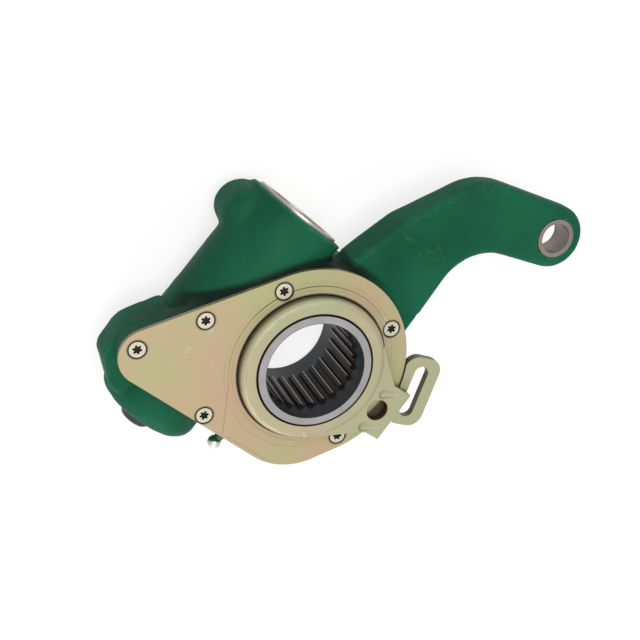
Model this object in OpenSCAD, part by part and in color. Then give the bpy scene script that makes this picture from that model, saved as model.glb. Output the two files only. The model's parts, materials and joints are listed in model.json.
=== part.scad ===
// Automatic brake slack adjuster: cast lever body, splined worm wheel, worm with
// hex end, rack and pinion take-up drive and a control arm that rides on the hub.
// Millimetres. Bore axis on Z with the control side at +Z, arm along +X.
// The origin is on the bore axis, in the middle of the spline.

/* [Spline hub] */
// Outside diameter of the worm wheel's end collars
collar_d = 50.4; // [50:0.1:50.8]
// Number of spline teeth in the bore
spline_teeth = 26; // [24:1:28]
// Spline tooth tip diameter
spline_minor_d = 41.1; // [40:0.1:41.6]
// Spline groove bottom diameter
spline_major_d = 43.2; // [42.6:0.1:43.4]
// Plain bore diameter at both ends of the spline
counterbore_d = 43.8; // [43.6:0.1:44.4]
// Height of the hub's front face above the origin
hub_front = 25; // [24.8:0.1:26]
// Depth of the hub's rear face below the origin
hub_rear = 24.5; // [22:0.1:24.8]
// Spline end above the origin
spline_front = 14.9; // [12:0.1:18]
// Spline end below the origin
spline_rear = 12.4; // [10:0.1:15]

/* [Worm drive] */
// Gear module of worm and worm wheel
gear_module = 2.5; // [2.45:0.01:2.52]
// Pitch diameter of the worm
worm_pitch_d = 18.5; // [18:0.1:19]
// Face width of the worm wheel's teeth
gear_width = 13; // [10:0.5:13]
// Threaded length of the worm
worm_len = 32; // [26:1:33]
// Angle of the worm axis from the arm, seen from the front
worm_angle = 30; // [29:0.5:31]
// Distance of the worm axis behind the spline's middle plane
worm_drop = 6; // [5.8:0.1:6.2]
// Total play between worm thread and wheel teeth along the pitch line
backlash = 0.8; // [0.6:0.1:1]
// Hex size across flats at the end of the worm shaft
hex_af = 12; // [10:0.5:12]
// Length of the hex outside the casting
hex_len = 5; // [4:0.5:8]

/* [Casting] */
// Diameter of the round body behind the cover
body_d = 87.2; // [86:0.2:87.4]
// Depth of the casting's rear face below the origin
body_rear = 25; // [24.9:0.1:26]
// Diameter of the worm boss
boss_d = 46.4; // [45:0.2:46.4]
// Bore of the worm boss
worm_bore_d = 30; // [29.6:0.1:30.4]
// Distance from the wheel's middle to the boss's hex end
boss_hex_end = 62.5; // [62:0.5:65]
// Distance from the wheel's middle to the boss's cap end
boss_cap_end = 46.5; // [46:0.5:50]
// Depth of the rack spring lobe below the origin
lobe_depth = 4; // [2:0.5:8]

/* [Lever arm] */
// Distance from the bore axis to the clevis bush
arm_length = 127; // [121:1:140]
// Height of the arm's front face above the origin
arm_front = 10.6; // [9:0.2:12]
// Arm thickness at the body
arm_root_t = 18; // [15:0.5:20]
// Arm thickness at the clevis eye
arm_eye_t = 12.5; // [12:0.5:14]
// Diameter of the clevis eye
eye_d = 29.4; // [27:0.2:30]
// Rounding of the arm's edges
arm_edge = 3.5; // [2:0.25:4]
// Bore of the clevis bush
bush_bore_d = 14; // [12:0.1:15]
// Outside diameter of the clevis bush
bush_d = 18; // [17:0.1:19]

/* [Cover] */
// Height of the cover's raised field above the origin
cover_face = 20.35; // [20.2:0.05:20.4]
// Radius of the cover round the bore
cover_r = 44; // [43.8:0.1:44.2]
// Cover sheet thickness
sheet_t = 2; // [1.8:0.1:2.1]
// Height of the embossed field above the cover's rim
emboss_h = 0.35; // [0.2:0.05:0.45]
// Gasket thickness under the cover
gasket_t = 0.7; // [0.6:0.1:0.8]
// Cover screw shank diameter
screw_d = 4; // [3.5:0.1:4]
// Depth that the cover screws reach into the casting
screw_depth = 9; // [7:0.5:9]

/* [Control arm] */
// Outside diameter of the control ring
ring_d = 65.2; // [65:0.1:65.6]
// Control ring sheet thickness
ring_t = 2.5; // [2.2:0.1:2.6]
// Gap between hub collar and control ring
ring_gap = 1; // [0.9:0.1:1.2]
// Control disc diameter inside the cover
disc_d = 70; // [69.6:0.1:70.2]
// Control disc thickness
disc_t = 3; // [2.8:0.1:3.1]
// Direction of the control tab, seen from the front
tab_angle = -57; // [-60:0.5:-54]
// Width of the control tab
tab_w = 24.6; // [22:0.2:26]
// Reach of the control tab from the bore axis
tab_reach = 48; // [47:0.2:49]
// Hole in the control tab
tab_hole_d = 10; // [8:0.1:10.4]
// Slot width in the control strap
slot_w = 6.8; // [6:0.1:7.2]
// Slot length between its end centres
slot_len = 18.1; // [14:0.1:22]

/* [Take-up drive] */
// Gear module of rack and pinion
rack_module = 1.5; // [1.48:0.01:1.52]
// Width of the rack
rack_w = 6.4; // [6.2:0.1:6.6]
// Radius at which the control disc drives the rack
drive_r = 33; // [32.8:0.1:33.2]
// Diameter of the rack's drive peg
peg_d = 3.6; // [3:0.1:3.8]

/* [Clearances] */
// Radial play of a turning shaft or collar
run_fit = 0.05; // [0.02:0.01:0.1]
// Gap beside sliding and meshing pieces
slide_gap = 0.35; // [0.3:0.05:0.4]
// Gap of a plug or screw that drops into its hole
drop_gap = 0.05; // [0.03:0.01:0.1]

/* [Hidden] */
$fn = 96;
cut = 1;
pressure = 20;

// Worm and wheel
wheel_teeth = 23;
worm_lead = PI * gear_module;
wheel_pitch_r = gear_module * wheel_teeth / 2;
worm_pitch_r = worm_pitch_d / 2;
centre = wheel_pitch_r + worm_pitch_r;
lead_angle = atan(gear_module / worm_pitch_d);
gear_add = 0.88 * gear_module;
gear_ded = 1.1 * gear_module;
gear_half = (worm_lead - backlash) / 4;
worm_tip_r = worm_pitch_r + gear_add;
worm_root_r = worm_pitch_r - gear_ded;
wheel_root_r = wheel_pitch_r - gear_ded;
wheel_edge_r = wheel_pitch_r + 1.25 * gear_module;
throat_r = worm_pitch_r - gear_add;
collar_r = collar_d / 2;
gear_top = gear_width / 2 - worm_drop;
gear_bottom = -gear_width / 2 - worm_drop;
seal_at = -hub_rear + 4.5;
groove_w = 2.2;
groove_depth = 1.9;
cord_gap = 0.05;
cord_r = groove_depth / 2 - cord_gap;
hub_groove = min(groove_depth, 0.6 * (collar_r - counterbore_d / 2));
hub_cord_r = hub_groove / 2 - cord_gap;

// Levels on the cover side
cover_top = cover_face - emboss_h;
cover_bottom = cover_top - sheet_t;
seat = cover_bottom - gasket_t;
disc_top = cover_bottom - 0.8;
disc_bottom = disc_top - disc_t;
ring_top = hub_front - 0.2;
ring_in_r = collar_r + ring_gap;
ring_out_r = ring_d / 2;
hub_wall_r = ring_out_r - ring_t;
tab_bottom = cover_face + 0.45;
tab_t = 3;
tab_top = tab_bottom + tab_t;
strap_t = 3.5;

// Cover outline and screws
cover_hole_r = ring_out_r + 1;
disc_cavity_r = max(disc_d / 2, ring_out_r) + 0.4;
lobe_at = [-60.5, 36.6];
lobe_r = 12.4;
corner_at = [-12.8, -15];
corner_r = 28.3;
field_r = cover_hole_r + 3.1;
flange_inset = 0.5;
flange_t = 9;
lobe_step = 0.4;
screw_ring_r = max(cover_hole_r + 4.7, disc_cavity_r + 2.9);
screws_at = [[screw_ring_r, 0], [0, screw_ring_r], [0, -screw_ring_r],
    [-49.8, 1], [-34, 41], [-63.4, 42]];
head_r = 3.4;
head_t = 1.6;
rim_t = 0.2;
head_ring = 0.45;
head_ring_depth = 0.9;
screw_edge = 0.6;
cover_edge_r = max(cover_r, screw_ring_r + head_r + head_ring + screw_edge);
tab_end = tab_reach + cover_edge_r - cover_r;

// Rack and pinion
pinion_teeth = 15;
pinion_pitch_r = rack_module * pinion_teeth / 2;
rack_pitch = PI * rack_module;
rack_add = 0.9 * rack_module;
rack_ded = 1.15 * rack_module;
rack_half = rack_pitch / 4 - 0.12;
rack_line = pinion_pitch_r - worm_drop;
rack_mid = -drive_r - 1.3;
rack_top = disc_bottom - 0.6;
rack_root = rack_line + rack_ded;
rack_low = -peg_d / 2 - 2.5;
rack_end = centre + 2.5 * rack_pitch;
rack_teeth = [-3 : 2];
channel_w = rack_w + 2 * slide_gap;
channel_floor = rack_line - rack_add - slide_gap - 0.5;
channel_low = -13;
channel_high = 64.2;
cavity_r = wheel_edge_r + 0.9;

// Stations along the worm axis
boss_r = boss_d / 2;
worm_bore_r = worm_bore_d / 2;
journal_r = 7;
tail_r = 6;
bush_r = 9;
hex_seal_r = 10;
hex_seal_t = 3.5;
bush_from = hex_seal_t + 0.5 - boss_hex_end;
bore_end = -45;
washer_t = 2;
pinion_half = rack_w / 2 + 0.8;
pinion_from = rack_mid - pinion_half;
clutch_r = 9.2;
clutch_at = rack_mid + pinion_half + 4.2;
clutch_len = 7.4;
wrap_wire_r = 0.7;
thrust_at = worm_len / 2 + 2;
thrust_t = 3.2;
thrust_r = 12;
race_t = 1.5;
ball_r = 1.5;
ball_ring_r = 9.5;
balls_at = thrust_at + thrust_t + race_t + ball_r;
washer_at = balls_at + ball_r;
spring_at = washer_at + race_t;
cap_r = 19.8;
cap_t = 3.1;
cap_proud = 1.1;
cap_seat = boss_cap_end + cap_proud - cap_t;
plug_end = cap_seat - 4.5;
cap_groove = plug_end + 2.3;

// Grease nipple
nipple_r = 2.5;
nipple_depth = 8;
nipple_angle = 205.2;
nipple_ball = 11.4;

// Shared shapes

// Point at radius r and angle a
function polar(r, a) = [r * cos(a), r * sin(a)];

// Points of an arc about c from angle a0 to a1
function arc(c, r, a0, a1, n) = [for (i = [0 : n]) c + polar(r, a0 + (a1 - a0) * i / n)];

// Involute function of an angle, in degrees
function inv(a) = tan(a) * 180 / PI - a;

// Half angle of a gear tooth at radius r, from its half thickness on the pitch circle
function tooth_angle(r, pitch_r, half) = half / pitch_r * 180 / PI + inv(pressure)
    - inv(acos(min(1, pitch_r * cos(pressure) / r)));

// Outline of one gear tooth that points along X
function tooth_points(low, high, pitch_r, half) =
    let (radii = [for (i = [0 : 6]) low + (high - low) * i / 6])
    concat([for (i = [0 : 6]) polar(radii[i], -tooth_angle(radii[i], pitch_r, half))],
        [for (i = [6 : -1 : 0]) polar(radii[i], tooth_angle(radii[i], pitch_r, half))]);

// Direction in which the outer tangent from circle c1 to circle c2 faces
function facing(c1, r1, c2, r2) = atan2(c2[1] - c1[1], c2[0] - c1[0]) - acos((r1 - r2) / norm(c2 - c1));

// Outline of the cover, drawn in by an inset: three arcs and their common tangents
module cover_outline(inset) {
    to_lobe = facing([0, 0], cover_edge_r, lobe_at, lobe_r);
    to_corner = facing(lobe_at, lobe_r, corner_at, corner_r) + 360;
    to_round = facing(corner_at, corner_r, [0, 0], cover_edge_r);
    polygon(concat(
        arc([0, 0], cover_edge_r - inset, to_round, to_lobe, 60),
        arc(lobe_at, lobe_r - inset, to_lobe, to_corner, 24),
        arc(corner_at, corner_r - inset, to_corner, to_round + 360, 16)
    ));
}

// Frame of the rack: X along the worm, Y along the rack
module rack_frame() {
    rotate([0, 0, worm_angle]) children();
}

// Frame of the worm: Z along the worm axis, X towards the rear
module worm_frame() {
    rack_frame() translate([0, centre, -worm_drop]) rotate([0, 90, 0]) children();
}

// Ring about the Z axis
module ring(inner, outer, low, high) {
    difference() {
        translate([0, 0, low]) cylinder(r = outer, h = high - low);
        translate([0, 0, low - cut]) cylinder(r = inner, h = high - low + 2 * cut);
    }
}

// Closed tube through rings of points
module sweep(points, steps, sides) {
    quads = [for (k = [0 : steps - 1], j = [0 : sides - 1])
        [k * sides + j, k * sides + (j + 1) % sides]];
    polyhedron(points, concat(
        [[for (j = [0 : sides - 1]) j]],
        [for (q = quads) [q[1], q[0], q[0] + sides]],
        [for (q = quads) [q[1], q[0] + sides, q[1] + sides]],
        [[for (j = [sides - 1 : -1 : 0]) steps * sides + j]]
    ), convexity = 10);
}

// Coil of round wire along Z
module coil(mid_r, wire_r, low, high, turns) {
    around = 16;
    sides = 6;
    steps = turns * around;
    rise = (high - low - 2 * wire_r) / steps;
    points = [for (k = [0 : steps], j = [0 : sides - 1])
        let (a = 360 * k / around, b = 360 * j / sides, r = mid_r + wire_r * cos(b))
        [r * cos(a), r * sin(a), low + wire_r + k * rise + wire_r * sin(b)]];
    sweep(points, steps, sides);
}

// Casting

// Outline of the lever arm: crowned top edge, bend, clevis eye and hollow underside
module arm_outline() {
    eye_at = [arm_length, 0];
    eye_r = eye_d / 2;
    bend_at = eye_at + [-36, 12];
    bend_r = 29.5;
    hollow_at = eye_at + [-42.1, -15.9];
    hollow_r = 24.5;
    root_x = 24;
    root_slope = 34.8;
    to_eye = eye_at - bend_at;
    top_a = atan2(to_eye[1], to_eye[0]) + acos((bend_r - eye_r) / norm(to_eye));
    to_hollow = hollow_at - eye_at;
    low_a = atan2(to_hollow[1], to_hollow[0]) + acos((eye_r + hollow_r) / norm(to_hollow));
    hollow_out = hollow_at + polar(hollow_r, 90 + root_slope);
    polygon(concat(
        [[root_x, 29.7], [root_x + 36, 39.6]],
        arc(bend_at, bend_r, 98, top_a, 8),
        arc(eye_at, eye_r, top_a, low_a, 20),
        arc(hollow_at, hollow_r, low_a + 180, 90 + root_slope, 10),
        [[root_x, hollow_out[1] - (hollow_out[0] - root_x) * tan(root_slope)]]
    ));
}

// Arm with rounded edges, thinner towards the eye
module arm_blank() {
    root_x = body_d / 2;
    slope = atan((arm_root_t - arm_eye_t) / (arm_length - root_x));
    low = arm_front - arm_root_t + arm_edge;
    minkowski() {
        difference() {
            translate([0, 0, low]) linear_extrude(arm_root_t - 2 * arm_edge)
                offset(delta = -arm_edge) arm_outline();
            translate([root_x, 0, low]) rotate([0, -slope, 0]) translate([0, -arm_length, -arm_root_t])
                cube([2 * arm_length, 2 * arm_length, arm_root_t]);
        }
        sphere(r = arm_edge, $fn = 14);
    }
}

// Outside of the worm boss with its round hex end and the lug near the cap
module boss_blank() {
    round_r = 8;
    lug_r = 11.6;
    lug_round = 8;
    lug_top = 3;
    worm_frame() rotate_extrude() polygon(concat(
        [[0, boss_cap_end], [0, -boss_hex_end]],
        arc([boss_r - round_r, round_r - boss_hex_end], round_r, -90, 0, 12),
        [[boss_r, boss_cap_end]]
    ));
    rack_frame() translate([boss_cap_end - 12.6, centre + 18, 0]) rotate_extrude() polygon(concat(
        [[0, -body_rear + 6], [lug_r, -body_rear + 6]],
        arc([lug_r - lug_round, lug_top - lug_round], lug_round, 0, 90, 8),
        [[0, lug_top]]
    ));
}

// Lobe over the rack spring, with its web and the shoulder that runs into the boss
module lobe_blank() {
    r = lobe_r - flange_inset - lobe_step;
    round_r = 5;
    translate(lobe_at) rotate_extrude() polygon(concat(
        [[0, seat], [0, -lobe_depth]],
        arc([r - round_r, round_r - lobe_depth], round_r, -90, 0, 8),
        [[r, seat]]
    ));
    rack_frame() translate([0, 0, lobe_step - lobe_depth])
        linear_extrude(seat + lobe_depth - 2 * lobe_step)
        polygon([[rack_mid - 9, centre], [rack_mid - 9, centre + 28], [rack_mid + 9, centre + 32],
            [rack_mid + 24, centre + 18], [rack_mid + 24, centre]]);
    translate([0, 0, -8.4]) linear_extrude(17) polygon(concat(
        arc([-61, 35.5], 13, 80, 125, 6),
        arc([-70, 35], 8.4, 125, 185, 6),
        arc([-72, 26.5], 8, 185, 230, 6),
        [[-55, 22], [-42, 44], [-46, 47.6]]
    ));
}

// Plain cast arrow for the brake's direction of turn
module arrow_outline() {
    translate([59, 33]) rotate(-52) {
        translate([0, -1.1]) square([17, 2.2]);
        polygon([[24, 0], [15.5, 5], [17, 0], [15.5, -5]]);
    }
}

// Worm bore, shaft bush, seal recess and cap seat
module worm_bores() {
    worm_frame() {
        translate([0, 0, bore_end]) cylinder(r = worm_bore_r, h = boss_cap_end - bore_end + cut);
        translate([0, 0, cap_seat]) cylinder(r = cap_r + 3 * drop_gap, h = cap_t + cut);
        translate([0, 0, bush_from]) cylinder(r = bush_r, h = bore_end - bush_from + cut);
        translate([0, 0, -boss_hex_end - cut]) cylinder(r = hex_seal_r, h = hex_seal_t + cut);
        translate([0, 0, -boss_hex_end]) cylinder(r = journal_r + slide_gap, h = boss_hex_end);
    }
}

// Wheel cavity, control disc cavity and rack channel
module front_cavities() {
    translate([0, 0, -body_rear - cut]) cylinder(r = collar_r + run_fit, h = body_rear + 2);
    translate([0, 0, gear_bottom - slide_gap]) cylinder(r = cavity_r, h = seat - gear_bottom + cut);
    translate([0, 0, disc_bottom - slide_gap]) cylinder(r = disc_cavity_r, h = seat);
    rack_frame() translate([rack_mid - channel_w / 2, channel_low, channel_floor])
        cube([channel_w, channel_high - channel_low, seat]);
}

// Cast lever body
module housing() {
    color([0.11, 0.36, 0.25]) difference() {
        union() {
            translate([0, 0, -body_rear]) cylinder(d = body_d, h = seat + body_rear);
            translate([0, 0, seat - flange_t]) linear_extrude(flange_t) cover_outline(flange_inset);
            boss_blank();
            lobe_blank();
            arm_blank();
            translate([0, 0, arm_front - cut]) linear_extrude(cut + 0.7) arrow_outline();
        }
        translate([-150, -150, -body_rear - 20]) cube([400, 300, 20]);
        worm_bores();
        front_cavities();
        translate([arm_length, 0, -body_rear]) cylinder(d = bush_d, h = 2 * body_rear);
        for (p = screws_at) translate([p[0], p[1], seat - screw_depth - cut])
            cylinder(d = screw_d + 2 * drop_gap, h = screw_depth + 2 * cut);
        nipple_frame() translate([0, 0, -nipple_depth]) cylinder(r = nipple_r, h = 2 * nipple_depth);
    }
}

// Pressed bush in the clevis eye
module arm_bush() {
    color([0.45, 0.42, 0.38]) translate([arm_length, 0, arm_front]) rotate([180, 0, 0])
        ring(bush_bore_d / 2, bush_d / 2, 0, arm_eye_t);
}

// Cover

// Field of the cover that is pressed up: round the ring and out to the lower corner
module field_outline() {
    circle(r = field_r);
    polygon(concat(
        [[-20, 0], polar(field_r, 165), [-45.8, -11]],
        arc([-28.4, -29.8], 5.6, 210, 288, 8),
        [[-17, -32.4], [-12, -33.6], polar(field_r, 260), [0, -20]]
    ));
}

// Stamped cover plate
module cover_plate() {
    color([0.74, 0.66, 0.5]) difference() {
        union() {
            translate([0, 0, cover_bottom]) linear_extrude(sheet_t) cover_outline(0);
            translate([0, 0, cover_bottom + cut])
                linear_extrude(cover_face - cover_bottom - cut) field_outline();
        }
        translate([0, 0, cover_bottom - cut]) cylinder(r = cover_hole_r, h = sheet_t + 3 * cut);
        for (p = screws_at) translate([p[0], p[1], cover_top]) {
            translate([0, 0, -sheet_t - cut]) cylinder(d = screw_d + 2 * drop_gap, h = sheet_t + 2 * cut);
            head_cone();
            translate([0, 0, -head_ring_depth])
                cylinder(r = head_r + head_ring, h = head_ring_depth + emboss_h + cut);
        }
    }
}

// Countersunk part of a screw head whose top is on the origin
module head_cone() {
    translate([0, 0, -head_t]) cylinder(r1 = screw_d / 2, r2 = head_r, h = head_t - rim_t);
}

// Gasket between cover and casting
module cover_gasket() {
    color([0.08, 0.08, 0.08]) difference() {
        translate([0, 0, seat]) linear_extrude(gasket_t) cover_outline(flange_inset);
        translate([0, 0, seat - cut]) cylinder(r = disc_cavity_r, h = gasket_t + 2 * cut);
        rack_frame() translate([rack_mid - channel_w / 2, channel_low, seat - cut])
            cube([channel_w, channel_high - channel_low, gasket_t + 2 * cut]);
        for (p = screws_at) translate([p[0], p[1], seat - cut])
            cylinder(d = screw_d + 2 * drop_gap, h = gasket_t + 2 * cut);
    }
}

// One cover screw with a six-lobed recess, head top on the origin
module cover_screw() {
    shank_len = sheet_t + gasket_t + screw_depth;
    difference() {
        union() {
            head_cone();
            translate([0, 0, -rim_t]) cylinder(r = head_r, h = rim_t);
            translate([0, 0, -shank_len]) cylinder(d = screw_d, h = shank_len - rim_t);
        }
        translate([0, 0, -1.1]) linear_extrude(1.1 + cut) {
            circle(r = 1.4);
            for (i = [0 : 5]) rotate(60 * i) translate([1.5, 0]) circle(r = 0.55);
        }
    }
}

// Cover screws
module cover_screws() {
    color([0.82, 0.8, 0.73])
        for (i = [0 : len(screws_at) - 1]) translate([screws_at[i][0], screws_at[i][1], cover_top])
            rotate([0, 0, 17 * i]) cover_screw();
}

// Dust seal between cover and control ring
module dust_seal() {
    color([0.05, 0.05, 0.05]) ring(ring_out_r + slide_gap, cover_hole_r, cover_bottom + 0.2, cover_top - 0.1);
}

// Pieces held by the casting

// Bush that carries the worm wheel on its front collar
module hub_bearing() {
    color([0.7, 0.55, 0.3]) difference() {
        ring(collar_r + run_fit, cavity_r, gear_top + slide_gap, rack_root - 1);
        worm_frame() cylinder(r = worm_tip_r + 0.6, h = 2 * cavity_r, center = true);
    }
}

// Bush that carries the worm shaft at its hex end
module worm_bush() {
    color([0.7, 0.55, 0.3]) worm_frame() ring(journal_r + run_fit, bush_r, bush_from, bore_end);
}

// Lip seal round the hex end of the worm shaft
module hex_seal() {
    color([0.06, 0.06, 0.06]) worm_frame()
        ring(journal_r + 2 * run_fit, hex_seal_r, -boss_hex_end, hex_seal_t - boss_hex_end);
}

// Fixed washer of the worm's thrust bearing
module thrust_washer() {
    color([0.6, 0.6, 0.62]) worm_frame() ring(tail_r + slide_gap, thrust_r + 2, washer_at, spring_at);
}

// Balls of the worm's thrust bearing
module thrust_balls() {
    count = 14;
    color([0.75, 0.75, 0.77]) worm_frame() translate([0, 0, balls_at])
        for (i = [0 : count - 1]) rotate([0, 0, 360 / count * i]) translate([ball_ring_r, 0, 0])
            sphere(r = ball_r, $fn = 32);
}

// Strong spring that holds the worm against its thrust bearing
module worm_spring() {
    wire_r = 1.7;
    color([0.35, 0.35, 0.37]) worm_frame()
        coil(worm_bore_r - 1 - wire_r, wire_r, spring_at, plug_end, 3);
}

// Cap on the worm bore
module worm_cap() {
    color([0.72, 0.7, 0.66]) worm_frame() difference() {
        union() {
            translate([0, 0, cap_seat]) cylinder(r = cap_r, h = cap_t);
            translate([0, 0, plug_end]) cylinder(r = worm_bore_r - 2 * drop_gap, h = cap_seat - plug_end + cut);
        }
        translate([0, 0, cap_seat + cap_t - 1]) cylinder(r = cap_r - 5, h = 2);
        translate([0, 0, cap_groove])
            ring(worm_bore_r - groove_depth, worm_bore_r + cut, -groove_w / 2, groove_w / 2);
    }
}

// Sealing ring of the cap
module cap_seal() {
    color([0.05, 0.05, 0.05]) worm_frame() translate([0, 0, cap_groove])
        rotate_extrude() translate([worm_bore_r - groove_depth + cord_r, 0]) circle(r = cord_r, $fn = 24);
}

// Spring that pushes the rack back
module rack_spring() {
    wire_r = 0.5;
    color([0.35, 0.35, 0.37]) rack_frame() translate([rack_mid, 0, (rack_root + rack_top) / 2])
        rotate([-90, 0, 0]) coil(rack_w / 2 - 0.4 - wire_r, wire_r, rack_end, channel_high, 6);
}

// Frame of the grease nipple: Z outwards from the body's wall
module nipple_frame() {
    rotate([0, 0, nipple_angle]) translate([body_d / 2, 0, 4]) rotate([0, 90, 0]) children();
}

// Grease nipple
module grease_nipple() {
    color([0.7, 0.72, 0.68]) nipple_frame() difference() {
        union() {
            translate([0, 0, -nipple_depth + 1]) cylinder(r = nipple_r, h = nipple_depth);
            translate([0, 0, 0.4]) cylinder(r = 3.9, h = 3, $fn = 6);
            translate([0, 0, 3]) cylinder(r1 = 2.6, r2 = 1.9, h = nipple_ball - 4);
            translate([0, 0, nipple_ball]) sphere(r = 3, $fn = 32);
        }
        translate([0, 0, nipple_ball + 2]) cylinder(r = 0.7, h = 2);
    }
}

// Washer between pinion and worm bush
module pinion_washer() {
    color([0.6, 0.6, 0.6]) worm_frame()
        ring(journal_r + slide_gap, worm_bore_r - 2, pinion_from - 0.2 - washer_t, pinion_from - 0.2);
}

// Worm wheel

// Cut of the splined bore: grooves with leaning sides between flat-topped teeth
module spline_outline() {
    minor_r = spline_minor_d / 2;
    major_r = spline_major_d / 2;
    pitch_a = 360 / spline_teeth;
    half_mouth = minor_r * sin(0.3 * pitch_a);
    half_floor = half_mouth - (major_r - minor_r) * 0.5;
    circle(r = minor_r);
    for (i = [0 : spline_teeth - 1]) rotate(pitch_a * i)
        polygon([[minor_r - cut, -half_mouth], [minor_r * cos(0.3 * pitch_a), -half_mouth],
            [major_r, -half_floor], [major_r, half_floor],
            [minor_r * cos(0.3 * pitch_a), half_mouth], [minor_r - cut, half_mouth]]);
}

// One wheel tooth, leaning at the worm's lead angle
module wheel_tooth() {
    rotate([-lead_angle, 0, 0]) translate([0, 0, -gear_width]) linear_extrude(2 * gear_width)
        polygon(tooth_points(wheel_root_r - 0.6, wheel_edge_r + 0.3, wheel_pitch_r, gear_half));
}

// Ring of throated wheel teeth
module wheel_teeth_ring() {
    difference() {
        intersection() {
            translate([0, 0, -worm_drop]) for (i = [0 : wheel_teeth - 1])
                rotate([0, 0, worm_angle + 90 + (i + 0.5) * 360 / wheel_teeth]) wheel_tooth();
            ring(wheel_root_r - 0.5, wheel_edge_r, gear_bottom, gear_top);
        }
        translate([0, 0, -worm_drop]) rotate_extrude() translate([centre, 0]) circle(r = throat_r);
    }
}

// Splined worm wheel
module worm_wheel() {
    color([0.63, 0.63, 0.65]) difference() {
        union() {
            translate([0, 0, -hub_rear]) cylinder(r = collar_r, h = hub_front + hub_rear);
            translate([0, 0, gear_bottom]) cylinder(r = wheel_root_r, h = gear_width);
            wheel_teeth_ring();
        }
        translate([0, 0, -spline_rear]) linear_extrude(spline_front + spline_rear) spline_outline();
        translate([0, 0, spline_front]) cylinder(d = counterbore_d, h = hub_front);
        translate([0, 0, -hub_rear - cut]) cylinder(d = counterbore_d, h = hub_rear - spline_rear + cut);
        translate([0, 0, seal_at]) ring(collar_r - hub_groove, collar_r + cut, -groove_w / 2, groove_w / 2);
    }
}

// Sealing ring on the wheel's rear collar
module hub_seal() {
    color([0.05, 0.05, 0.05]) translate([0, 0, seal_at]) rotate_extrude()
        translate([collar_r - hub_groove + hub_cord_r, 0]) circle(r = hub_cord_r, $fn = 24);
}

// Worm

// Cross section of the one-start worm: tip arc, two flanks and root arc
module worm_section() {
    half_tip = (gear_half - gear_add * tan(pressure)) / worm_lead * 360;
    half_root = (gear_half + gear_ded * tan(pressure)) / worm_lead * 360;
    flank = [for (i = [1 : 4]) i / 5];
    polygon(concat(
        arc([0, 0], worm_tip_r, -half_tip, half_tip, 6),
        [for (f = flank) polar(worm_tip_r + (worm_root_r - worm_tip_r) * f,
            half_tip + (half_root - half_tip) * f)],
        arc([0, 0], worm_root_r, half_root, 360 - half_root, 6),
        [for (f = flank) polar(worm_root_r + (worm_tip_r - worm_root_r) * f,
            -half_root + (half_root - half_tip) * f)]
    ));
}

// Screw thread of the worm, right hand, crest facing the wheel at mid-length
module worm_thread() {
    twist_a = 360 * worm_len / worm_lead;
    translate([0, 0, -worm_len / 2]) rotate(270 - twist_a / 2)
        linear_extrude(worm_len, twist = -twist_a, slices = 84, $fn = 12) worm_section();
}

// Worm shaft with thread, thrust collar and hex end
module worm_shaft() {
    hex_end = -boss_hex_end - hex_len;
    chamfer = 1.2;
    corner_r = hex_af / 2 / cos(30);
    color([0.2, 0.18, 0.21]) worm_frame() {
        worm_thread();
        translate([0, 0, -worm_len / 2 - 4]) cylinder(r = worm_root_r - 0.4, h = worm_len + 8);
        translate([0, 0, -boss_hex_end]) cylinder(r = journal_r, h = boss_hex_end - worm_len / 2 - 1.5);
        translate([0, 0, thrust_at]) cylinder(r = thrust_r, h = thrust_t);
        translate([0, 0, thrust_at + cut]) cylinder(r = tail_r, h = washer_at - thrust_at);
        intersection() {
            translate([0, 0, hex_end]) cylinder(r = corner_r, h = hex_len + cut, $fn = 6);
            union() {
                translate([0, 0, hex_end]) cylinder(r1 = hex_af / 2 - 0.3, r2 = corner_r + 0.1, h = chamfer);
                translate([0, 0, hex_end + chamfer]) cylinder(r = corner_r + 0.1, h = hex_len);
            }
        }
    }
}

// Clutch hub pressed on the worm shaft
module clutch_hub() {
    color([0.5, 0.5, 0.52]) worm_frame()
        ring(journal_r, clutch_r, clutch_at + slide_gap, clutch_at + clutch_len);
}

// Turning race of the worm's thrust bearing
module thrust_race() {
    color([0.6, 0.6, 0.62]) worm_frame()
        ring(tail_r, thrust_r, thrust_at + thrust_t, thrust_at + thrust_t + race_t);
}

// Take-up drive

// Clutch pinion with its spring collar
module pinion() {
    root_r = pinion_pitch_r - rack_ded;
    tip_r = pinion_pitch_r + rack_add;
    color([0.55, 0.55, 0.57]) worm_frame() difference() {
        union() {
            translate([0, 0, pinion_from]) linear_extrude(2 * pinion_half) {
                circle(r = root_r);
                for (i = [0 : pinion_teeth - 1]) rotate(180 + (i + 0.5) * 360 / pinion_teeth)
                    polygon(tooth_points(root_r - 0.4, tip_r, pinion_pitch_r, rack_half));
            }
            translate([0, 0, rack_mid]) cylinder(r = clutch_r, h = clutch_at - rack_mid);
        }
        translate([0, 0, pinion_from - cut])
            cylinder(r = journal_r + run_fit, h = clutch_at - pinion_from + 2 * cut);
    }
}

// One-way spring wrapped over pinion collar and clutch hub
module clutch_spring() {
    color([0.4, 0.4, 0.42]) worm_frame()
        coil(clutch_r + slide_gap + wrap_wire_r, wrap_wire_r, rack_mid + pinion_half,
            clutch_at + clutch_len, 7);
}

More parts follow.
